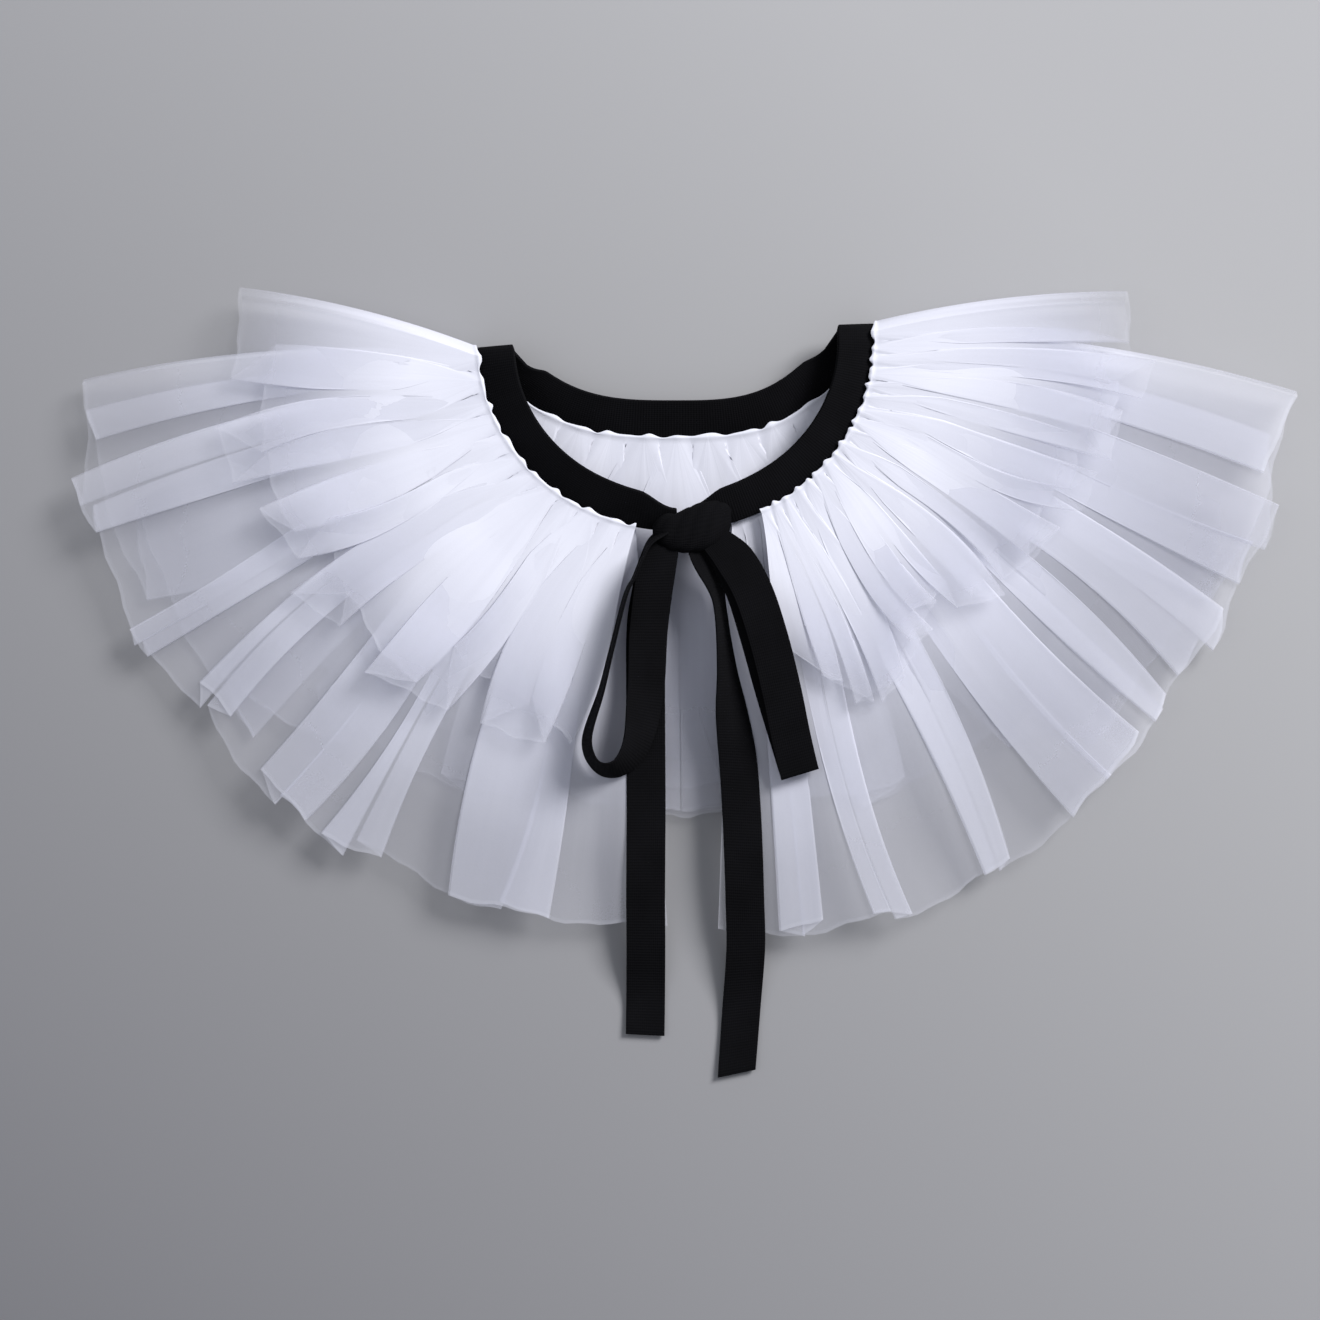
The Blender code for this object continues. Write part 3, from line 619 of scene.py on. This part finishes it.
def pleat_run(pleats, side, open_start, open_end):
    """Fold lines of box pleats in the order the cloth runs. An open start or end has
    no hidden lap there, because the cloth goes on round a shoulder."""
    lines = []
    way = 1.0 if pleats[0].end > pleats[0].start else -1.0
    under_before = pleats[0].under
    for number, pleat in enumerate(pleats):
        lap = lap_degrees(pleat) * way
        over, under = pleat.start + lap, pleat.end - lap
        before = pleats[number - 1].end if number else pleat.start
        after = pleats[number + 1].start if number + 1 < len(pleats) else pleat.end
        if not (open_start and number == 0):
            reach = mix(under_before, pleat.reach_start, 0.5)
            fold(lines, over, over, reach, 0, 1, way, side)
            fold(lines, pleat.start, spring(pleat.start, before), pleat.reach_start, 1, 2, -way, side)
        if not (open_end and number == len(pleats) - 1):
            reach = mix(pleat.under, pleat.reach_end, 0.5)
            fold(lines, pleat.end, spring(pleat.end, after), pleat.reach_end, 2, 1, way, side)
            fold(lines, under, under, reach, 1, 0, -way, side)
        under_before = pleat.under
    return lines


def turned_round(pleats):
    """The same pleats met from the other end."""
    made = []
    for number in range(len(pleats) - 1, -1, -1):
        old = pleats[number]
        under = pleats[number - 1].under if number else old.under
        made.append(Pleat(old.end, old.start, old.reach_end, old.reach_start, under))
    return made


def back_reach(back, degrees):
    return mix(back.reach_middle, back.reach_side, abs(math.cos(math.radians(degrees))) ** back.power)


def back_pleats(back, left, right):
    """The back's pleats, worked out: evenly fanned, and a little uneven in width."""
    made = []
    pitch = (right - left) / back.pleats
    for number in range(back.pleats):
        wander = rippled(BACK_WANDER, number)
        width = pitch * (back.share + wander)
        middle = left + pitch * (number + 0.5 + BACK_SHIFT * wander)
        start, end = middle - width / 2.0, middle + width / 2.0
        if number == 0:
            start = left
        if number == back.pleats - 1:
            end = right
        made.append(Pleat(start, end, back_reach(back, start), back_reach(back, end),
                          back_reach(back, middle + pitch / 2.0) - BACK_UNDER_SHORT))
    return made


def shoulder_turn(angle, reach, way, tier):
    """The cloth going over a shoulder, from the front's top layer to the back's."""
    lines = []
    steps = tier.turn_steps * 2
    for step in range(steps + 1):
        share = step / steps
        bulge = math.sin(math.pi * share)
        inset = math.degrees(FOLD_INSET / reach) * way * (1.0 - bulge)
        lines.append(Line(angle - inset, angle, reach, 2, 2, share, tier.turn_out * bulge,
                          bulge ** SHOULDER_FOLD_POWER))
    return lines


def blended(a, b, share):
    """A line part of the way from one fold line to the next. Only the fold is an edge."""
    values = [mix(x, y, share) for x, y in zip(a, b)]
    return Line(*values)


# One column of the shell: its fold line, its number counted in fold lines, and its two
# places on the neckline: with the gathers evenly spaced, and where its pleat springs from
SubLine = namedtuple("SubLine", "line number even root")
PANEL_STEP = 1.3                # degrees of hem between the columns of a panel
FOLD_STEP = 0.16                # and from its folded edge to the first of them
LEAST_PANEL = 4.0               # a panel under this many fold steps wide has no such column


def strip_columns(tier, left, left_edge, right, right_edge, back):
    """The columns of one whole strip, from the left front edge round to the right one."""
    from_angle, to_angle = left[0].start, right[-1].end
    left_lines = [plain_line(left_edge.angle, left_edge.reach, 0, 0)._replace(edge=1.0)]
    left_lines += pleat_run(turned_round(left), 0, False, True)
    over_left = shoulder_turn(from_angle, left[0].reach_start, -1.0, tier)
    back_lines = pleat_run(back_pleats(back, from_angle, to_angle), 1, True, True)
    over_right = shoulder_turn(to_angle, right[-1].reach_end, 1.0, tier)[::-1]
    right_lines = pleat_run(turned_round(right), 0, True, False)
    right_lines.append(plain_line(right_edge.angle, right_edge.reach, 0, 0)._replace(edge=1.0))

    placed = []

    def place_front(lines, begin, finish_at, angle_begin, angle_finish, first):
        for number, line in enumerate(lines):
            even = mix(begin, finish_at, (number + first) / len(lines))
            share = (line.root - angle_begin) / (angle_finish - angle_begin)
            placed.append((line, ("front", even), ("front", mix(begin, finish_at, share))))

    place_front(left_lines, FRONT_END_LEFT, LEFT_SHOULDER, left_edge.angle, from_angle, 0)
    placed += [(line, ("left", line.out), ("left", line.out)) for line in over_left]
    for number, line in enumerate(back_lines):
        even = (number + 1) / (len(back_lines) + 1)
        share = (line.root - from_angle) / (to_angle - from_angle)
        placed.append((line, ("back", even), ("back", share)))
    placed += [(line, ("right", line.out), ("right", line.out)) for line in over_right]
    place_front(right_lines, RIGHT_SHOULDER, tier.right_end, to_angle, right_edge.angle, 1)

    columns = []
    for number in range(len(placed) - 1):
        (a, even_a, root_a), (b, even_b, root_b) = placed[number], placed[number + 1]
        width = abs(b.angle - a.angle)
        steps = max(1, math.ceil(width / PANEL_STEP))
        shares = [step / steps for step in range(steps)]
        if width > LEAST_PANEL * FOLD_STEP:
            shares = sorted(shares + [FOLD_STEP / width, 1.0 - FOLD_STEP / width])
        elif a.edge or b.edge:
            shares = [0.0, 0.5]
        for share in shares:
            line = blended(a, b, share)
            if share:
                line = line._replace(edge=0.0)
            columns.append(SubLine(line, number + share, (even_a, even_b, share), (root_a, root_b, share)))
    line, even, root = placed[-1]
    columns.append(SubLine(line, len(placed) - 1, (even, even, 0.0), (root, root, 0.0)))
    return columns


def neck_point(place, grow):
    """A point of the neckline from a place on it, and the way in to the neck there."""
    kind, where = place
    if kind == "front":
        point = front_neck_point(where, grow)
        return point, (front_neck_point(where, grow - 1.0) - point).normalized()
    if kind == "back":
        return back_neck_point(where, grow)
    side = -1 if kind == "left" else 1
    point = front_neck_point(180.0 if kind == "left" else 360.0, grow)
    return point + shoulder_out(side) * where, Vector((-side, 0.0))


def on_neckline(pair, grow):
    first, second, share = pair
    a, in_a = neck_point(first, grow)
    if not share:
        return a, in_a
    b, in_b = neck_point(second, grow)
    return a.lerp(b, share), in_a.lerp(in_b, share)


def row_at(rows, at):
    """The row's values at any distance from the neck, on smooth curves."""
    number = 0
    while number < len(rows) - 2 and at > rows[number + 1].at:
        number += 1
    a, b = rows[number], rows[number + 1]
    share = (at - a.at) / (b.at - a.at)
    return Row(*[mix(x, y, share) for x, y in zip(a, b)])


def bow_at(angle, left_limit, right_limit):
    """How much of the shoulder's bow a fold line takes: all there, none at the front."""
    left = 1.0 - (angle - left_limit) / SHOULDER_BOW_SPAN
    right = 1.0 - (right_limit - angle) / SHOULDER_BOW_SPAN
    return soft_step(max(left, right))


def leaning(angle):
    """How many degrees the pleats bend to one side here, half way to the hem."""
    clear = soft_step((abs(angle - WAVE_MIDDLE) - WAVE_FREE) / WAVE_RISE)
    return clear * rippled(LEANS, angle)


def hem_wave(angle):
    """How far a hem stands up here: 0 in front, up to the full height at the sides."""
    turn = math.radians(angle - WAVE_MIDDLE)
    clear = soft_step((abs(angle - WAVE_MIDDLE) - WAVE_FREE) / WAVE_RISE)
    uneven = mix(WAVE_LEAST, 1.0, 0.5 + 0.5 * math.sin(WAVE_BEATS * turn))
    return WAVE_HEIGHT * clear * uneven * math.sin(turn * WAVES_PER_TURN / 2.0) ** 2


ROW_STEPS = 34
ROW_CROWDING = 1.25             # over 1, the rows stand closer near the neck
LEAST_ROW = 0.01
HEADER_ROWS = 4                 # rows of gathers that stand over the band's edge
HEADER_HEIGHT = 3.0
HEADER_WAVE = 0.35              # how much of the gathers' height is left at their top
HEADER_DOME = 0.3
PUFF_LEAST = 0.25
PUFF_EVEN = 0.55
PUFF_VARIES = [Ripple(0.45, 0.61)]
HEM_EDGE = 0.9                  # width of the whiter cut edge
EDGE_COVER = 0.05
FOLD_COVER = 0.16
FOLD_SHOWS = 1.6                # how soon a fold's edge shows, going out from the neck
BACK_COVER = 0.75               # the back, seen through the fronts, looks this much thinner
PANEL_TONE = [Ripple(0.22, 2.4, 1.0)]
SHEER_FROM = 72.0               # degrees from the front to where the hems are more sheer
SHEER_LEFT = 0.3
SHEER_RIGHT = 0.1
GATHERS_END = 0.45              # the painted shade in the gathers' creases has faded this far from the neck
GATHERS_FADE = 1.5
# Painted shade of the net near the neck, and how much deeper it is in the gathers' creases
GATHER_SHADE = 0.40
GATHER_SHADE_VARIES = 0.22
CLOSE_STEP = 0.01               # the layers lie this close near the neck and this far apart
OPEN_STEP = 0.42                # at the hem, and part between the next two places
OPEN_FROM = 0.48
OPEN_TO = 1.0


def tier_rows(width):
    """How far from the neck each row of the shell is, with three by the cut edge."""
    shares = [(step / ROW_STEPS) ** ROW_CROWDING for step in range(ROW_STEPS)]
    last = 1.0 - 2.0 * HEM_EDGE / width
    shares = [share for share in shares if share < last - LEAST_ROW]
    return shares + [last, 1.0 - HEM_EDGE / width, 1.0]


def gather_wave(column):
    """How high the gathers stand at a column, from -1 to 1."""
    number = column.number
    return math.cos(2.0 * math.pi * number / LINES_PER_GATHER + rippled(GATHER_DRIFT, number))


def header_point(tier, net, column, share):
    """A point of the gathers that stand over the band's edge, and how far they puff out."""
    side, wave = column.line.side, gather_wave(column)
    over = mix(net.over_front, net.over_back, side) + SEAM_GAP
    puff = 0.5 + 0.5 * wave * (PUFF_EVEN + rippled(PUFF_VARIES, column.number))
    point, inward = on_neckline(column.even, SEAM_GAP)
    point = point + inward * over * share * mix(PUFF_LEAST, 1.0, puff)
    base = mix(tier.front_neck_z, tier.back_neck_z, side) + GATHER_HEIGHT * wave
    top = mix(net.front_top, net.back_top, side) + HEADER_WAVE * GATHER_HEIGHT * wave
    z = mix(base, top, math.sin(0.5 * math.pi * share)) + HEADER_DOME * math.sin(math.pi * share)
    return (point.x, point.y, z), puff


def net_point(tier, limits, column, row, at):
    """A point of the net, at any share of the way from the neck (0) to the hem (1)."""
    line = column.line
    bow = bow_at(line.angle, *limits)
    bend = leaning(line.angle) * (1.0 - bow) * math.sin(math.pi * at)
    angle = math.radians(mix(line.root, line.angle, row.turned) + bend)
    reach = line.reach + rippled(HEM_WOBBLE, line.angle) * at
    end = Vector((FAN_MIDDLE[0] + reach * math.cos(angle),
                  FAN_MIDDLE[1] + reach * math.sin(angle) + line.out))
    root, _ = on_neckline(column.root, SEAM_GAP)
    even, _ = on_neckline(column.even, SEAM_GAP)
    spot = root.lerp(even, row.even).lerp(end, at)
    spot.y += tier.bow * bow * 4.0 * at * (1.0 - at)
    neck_z = mix(tier.front_neck_z, tier.back_neck_z, line.side) + GATHER_SPREAD * gather_wave(column)
    layer = mix(line.closed, line.layer, min(1.0, LAP_OPENING * row.turned))
    opening = mix(CLOSE_STEP, OPEN_STEP, soft_step((at - OPEN_FROM) / (OPEN_TO - OPEN_FROM)))
    layer = mix(1.0, layer, opening)
    lift = hem_wave(line.angle) * row.wave
    turn = FLUTTER_TURN * column.number + FLUTTER_ALONG * at
    flutter = FLUTTER * math.sin(turn) * (1.0 - FLUTTER_FADE * at)
    front_z = row.front_z + row.front_step * layer + lift + flutter
    back_z = row.back_z + row.back_step * layer + lift * tier.back_wave + flutter
    z = mix(neck_z, mix(front_z, back_z, line.side), row.opened)
    return spot.x, spot.y, max(z, LOWEST)


def packed_cover(ply, layers):
    """How much of the view several thicknesses hide, where one of them hides ply."""
    return 1.0 - (1.0 - ply) ** layers


def ply_at(net, column, at):
    """How much of the view one thickness hides here."""
    line = column.line
    ply = mix(net.cover_low, net.cover_top, min(max(line.layer, 0.0), 2.0) / 2.0)
    ply *= mix(1.0, BACK_COVER, line.side)
    ply *= 1.0 + rippled(PANEL_TONE, int(column.number)) * at
    sheer = SHEER_LEFT if line.angle < WAVE_MIDDLE else SHEER_RIGHT
    return ply * (1.0 - sheer * at * soft_step((abs(line.angle - WAVE_MIDDLE) - SHEER_FROM) / WAVE_RISE))


def net_tier(tier, net, left, left_edge, right, right_edge, back, width, finish):
    columns = strip_columns(tier, left, left_edge, right, right_edge, back)
    limits = left[0].start, right[-1].end
    grid, cover, edge, crease, across = [], [], [], [], []
    for step in range(HEADER_ROWS, 0, -1):
        share = step / HEADER_ROWS
        made = [header_point(tier, net, column, share) for column in columns]
        grid.append([point for point, _ in made])
        cover += [packed_cover(net.cover_top, net.packed)] * len(columns)
        edge += [0.0] * len(columns)
        # painted shade: the header darker where its gathers puff out less, in the hollows between them
        crease += [0.5 - 0.5 * puff for _, puff in made]
        across.append(-share * HEADER_HEIGHT)
    for at in tier_rows(width):
        row = row_at(tier.rows, at)
        layers = mix(1.0, net.packed, (1.0 - at) ** net.spread)
        hem = soft_step((at - 1.0 + 2.0 * HEM_EDGE / width) / (HEM_EDGE / width))
        shows = soft_step(FOLD_SHOWS * at)
        painted_shade_fade = max(0.0, 1.0 - at / GATHERS_END) ** GATHERS_FADE
        for column in columns:
            cover.append(packed_cover(ply_at(net, column, at), layers))
            edge.append(max(hem * EDGE_COVER, column.line.edge * FOLD_COVER * shows))
            # painted shade near the neck, deeper in the gathers' creases, fading out away from the neck
            crease.append((GATHER_SHADE + GATHER_SHADE_VARIES * (1.0 - gather_wave(column))) * painted_shade_fade)
        grid.append([net_point(tier, limits, column, row, at) for column in columns])
        across.append(at * width)

    along = [0.0]
    hem_row = grid[-1]
    for a, b in zip(hem_row, hem_row[1:]):
        along.append(along[-1] + (Vector(b) - Vector(a)).length)
    values = {"cover": cover, "edge": edge, "crease": crease}
    piece = cloth_mesh(tier.name + "_net", grid, values, along, across)
    piece.data.materials.append(finish)
    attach(piece, "root")
    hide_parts(tier.name)
    return piece, along[-1]


ROUNDING = 0.3                  # of the wall, taken off its edges
ROUNDED_FROM = math.radians(50.0)


def thicken(piece, wall):
    """Gives a sheet its wall, with rounded edges."""
    bpy.ops.object.select_all(action="DESELECT")
    bpy.context.view_layer.objects.active = piece
    piece.select_set(True)
    solid = piece.modifiers.new("wall", "SOLIDIFY")
    solid.thickness = wall * MM
    solid.offset = 0.0
    bpy.ops.object.modifier_apply(modifier=solid.name)
    rounded = piece.modifiers.new("rounded", "BEVEL")
    rounded.width = wall * ROUNDING * MM
    rounded.segments = 2
    rounded.limit_method = "ANGLE"
    rounded.angle_limit = ROUNDED_FROM
    bpy.ops.object.modifier_apply(modifier=rounded.name)
    piece.data.shade_smooth()


def neckband(finish):
    stations = band_stations()
    grid = []
    for share in BAND_WIDTHS:
        row = []
        for edge, width in stations:
            point = edge + width * TAPE_WIDTH * share
            point.z += BAND_DOME * math.sin(math.pi * share)
            row.append(point)
        grid.append(row)
    along = [0.0]
    for (a, _), (b, _) in zip(stations, stations[1:]):
        along.append(along[-1] + (b - a).length)
    piece = cloth_mesh("neckband_tape", grid, {}, along, [share * TAPE_WIDTH for share in BAND_WIDTHS])
    piece.data.materials.append(finish)
    thicken(piece, BAND_WALL)
    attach(piece, "root")
    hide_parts("neckband")
    return piece, along[-1]


def smooth_sections(sections, steps):
    """Catmull-Rom sections through the given ones."""
    values = [Vector(section) for section in sections]
    padded = [values[0] * 2.0 - values[1]] + values + [values[-1] * 2.0 - values[-2]]
    made = []
    for number in range(len(values) - 1):
        a, b, c, d = padded[number:number + 4]
        for step in range(steps):
            t = step / steps
            made.append(0.5 * (2.0 * b + (c - a) * t + (2.0 * a - 5.0 * b + 4.0 * c - d) * t ** 2
                               + (3.0 * b - a - 3.0 * c + d) * t ** 3))
    made.append(values[-1])
    return made


TIE_STEPS = 10
TIE_WIDTHS = (-0.5, -0.44, -0.25, 0.0, 0.25, 0.44, 0.5)      # shares of the width, edge to edge


def tape(name, sections, finish):
    grid = [[] for _ in TIE_WIDTHS]
    along = [0.0]
    before = None
    for x, y, z, across, tip, wide in smooth_sections(sections, TIE_STEPS):
        turn, lean = math.radians(across), math.radians(tip)
        width = Vector((math.cos(turn) * math.cos(lean), math.sin(turn) * math.cos(lean), math.sin(lean)))
        middle = Vector((x, y, z))
        if before is not None:
            along.append(along[-1] + (middle - before).length)
        before = middle
        for row, share in zip(grid, TIE_WIDTHS):
            row.append(middle + width * TAPE_WIDTH * wide * share)
    widths = [(share + 0.5) * TAPE_WIDTH for share in TIE_WIDTHS]
    piece = cloth_mesh(name + "_tape", grid, {}, along, widths)
    piece.data.materials.append(finish)
    thicken(piece, TAPE_WALL)
    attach(piece, "root")
    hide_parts(name)
    return piece, along[-1]


def knot(finish):
    """Crossed turns of tape: a rounded form, ring by ring, with slanting creases."""
    rings = []
    for x, y, z, half_y, half_z in smooth_sections(KNOT, KNOT_STEPS):
        ring = []
        for step in range(KNOT_ROUND):
            turn = 2.0 * math.pi * step / KNOT_ROUND
            slant = x * KNOT_CREASE_PITCH + KNOT_CREASE_SLANT * turn
            wrap = math.sin(slant) ** KNOT_CREASE_POWER * KNOT_CREASE
            c, s = math.cos(turn), math.sin(turn)
            flat_y = math.copysign(abs(c) ** KNOT_SQUARE_Y, c)
            flat_z = math.copysign(abs(s) ** KNOT_SQUARE_Z, s)
            ring.append((x, y + flat_y * (half_y - wrap), z + flat_z * (half_z - wrap)))
        rings.append(ring)
    points = [to_metres(point) for ring in rings for point in ring]
    faces = []
    for r in range(len(rings) - 1):
        for c in range(KNOT_ROUND):
            d = (c + 1) % KNOT_ROUND
            faces.append((r * KNOT_ROUND + c, r * KNOT_ROUND + d,
                          (r + 1) * KNOT_ROUND + d, (r + 1) * KNOT_ROUND + c))
    faces.append(tuple(range(KNOT_ROUND))[::-1])
    faces.append(tuple((len(rings) - 1) * KNOT_ROUND + c for c in range(KNOT_ROUND)))
    mesh = bpy.data.meshes.new("knot_tape")
    mesh.from_pydata(points, [], faces)
    layer = mesh.uv_layers.new(name="cloth")
    for loop in mesh.loops:
        r, c = divmod(loop.vertex_index, KNOT_ROUND)
        layer.data[loop.index].uv = (c / KNOT_ROUND * KNOT_GIRTH, r * KNOT_RING)
    piece = bpy.data.objects.new("knot_tape", mesh)
    bpy.context.scene.collection.objects.link(piece)
    bpy.ops.object.select_all(action="DESELECT")
    bpy.context.view_layer.objects.active = piece
    piece.select_set(True)
    bpy.ops.object.mode_set(mode="EDIT")
    bpy.ops.mesh.select_all(action="SELECT")
    bpy.ops.mesh.normals_make_consistent(inside=False)
    bpy.ops.object.mode_set(mode="OBJECT")
    mesh.shade_smooth()
    mesh.materials.append(finish)
    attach(piece, "root")
    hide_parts("knot")
    return piece


# Painted light and shade on the floor: its colour goes from painted shade at the lower left to painted
# light at the upper right, as the light falls across the paper
FLOOR_SIDE = 6.0
FLOOR_PAINTED_SHADE = (0.156, 0.157, 0.170)
FLOOR_PAINTED_LIGHT = (0.390, 0.391, 0.403)
FLOOR_SLOPE = 0.95              # of that change, for each metre across and up
FLOOR_MOST = 0.82

# Lamps: where they are and what they point at (metres), watts, size across and colour
Lamp = namedtuple("Lamp", "name place aim power size colour")
LAMPS = [
    Lamp("key", (2.60, 2.25, 2.35), (0.0, 0.02, 0.0), 272.0, 1.6, (1.0, 0.99, 0.985)),
    Lamp("fill", (-0.9, 0.2, 1.4), (0.0, 0.0, 0.0), 4.0, 1.2, (0.95, 0.97, 1.0)),
]
SKY_COLOUR = (0.86, 0.89, 0.97)
SKY_STRENGTH = 0.42


def floor():
    bpy.ops.object.select_all(action="DESELECT")
    bpy.ops.mesh.primitive_plane_add(size=FLOOR_SIDE, location=(0.0, 0.0, -0.0002))
    made = bpy.context.object
    made.name = "floor"
    paper = Finish("grey_paper", FLOOR_PAINTED_LIGHT, 0.9)
    place = paper.node("ShaderNodeTexCoord", {}, {}, "Object")
    split = paper.tree.nodes.new("ShaderNodeSeparateXYZ")
    paper.put(split.inputs[0], place)
    x, y = Wire(paper, split.outputs[0]), Wire(paper, split.outputs[1])
    # painted light and shade: the floor's colour is lighter toward the upper right
    share = (0.5 + x * FLOOR_SLOPE + y * FLOOR_SLOPE).clipped(0.0, FLOOR_MOST)
    paper.feed("Base Color", paper.blend(share, FLOOR_PAINTED_SHADE, FLOOR_PAINTED_LIGHT))
    made.data.materials.append(paper.material)


def lamp(settings):
    data = bpy.data.lights.new(settings.name, "AREA")
    data.energy = settings.power
    data.color = settings.colour
    data.size = settings.size
    made = bpy.data.objects.new(settings.name, data)
    bpy.context.scene.collection.objects.link(made)
    made.location = settings.place
    aim = Vector(settings.aim) - Vector(settings.place)
    made.rotation_euler = aim.to_track_quat("-Z", "Y").to_euler()


def studio():
    floor()
    for settings in LAMPS:
        lamp(settings)
    world = bpy.data.worlds.new("studio")
    world.use_nodes = True
    sky = world.node_tree.nodes["Background"]
    sky.inputs["Color"].default_value = (*SKY_COLOUR, 1.0)
    sky.inputs["Strength"].default_value = SKY_STRENGTH
    bpy.context.scene.world = world
    bpy.context.scene.view_settings.view_transform = "Standard"


def camera():
    data = bpy.data.cameras.new("above")
    data.sensor_width = SENSOR
    data.lens = SENSOR * (CAMERA_HEIGHT - SIGHT_LEVEL) / PICTURE_SPAN
    made = bpy.data.objects.new("above", data)
    bpy.context.scene.collection.objects.link(made)
    made.location = to_metres((*PICTURE_MIDDLE, CAMERA_HEIGHT))
    bpy.context.scene.camera = made


# Widths of the sheets' cuts, from neck to hem
LONG_WIDTH = 155.0
SHORT_WIDTH = 98.0


def dress():
    tulle = net_finish("white_tulle")
    black = tape_finish("black_tape")
    long_net, long_cut = net_tier(LONG_TIER, LONG_NET, LONG_LEFT, LONG_LEFT_EDGE, LONG_RIGHT,
                                  LONG_RIGHT_EDGE, LONG_BACK, LONG_WIDTH, tulle)
    short_net, short_cut = net_tier(SHORT_TIER, SHORT_NET, SHORT_LEFT, SHORT_LEFT_EDGE, SHORT_RIGHT,
                                    SHORT_RIGHT_EDGE, SHORT_BACK, SHORT_WIDTH, tulle)
    band, band_cut = neckband(black)
    tied = knot(black)
    ties = [tape("tail_left", TAIL_LEFT, black), tape("tail_right", TAIL_RIGHT, black),
            tape("loop_left", LOOP_LEFT, black), tape("loop_right", LOOP_RIGHT, black)]


dress()
studio()
camera()
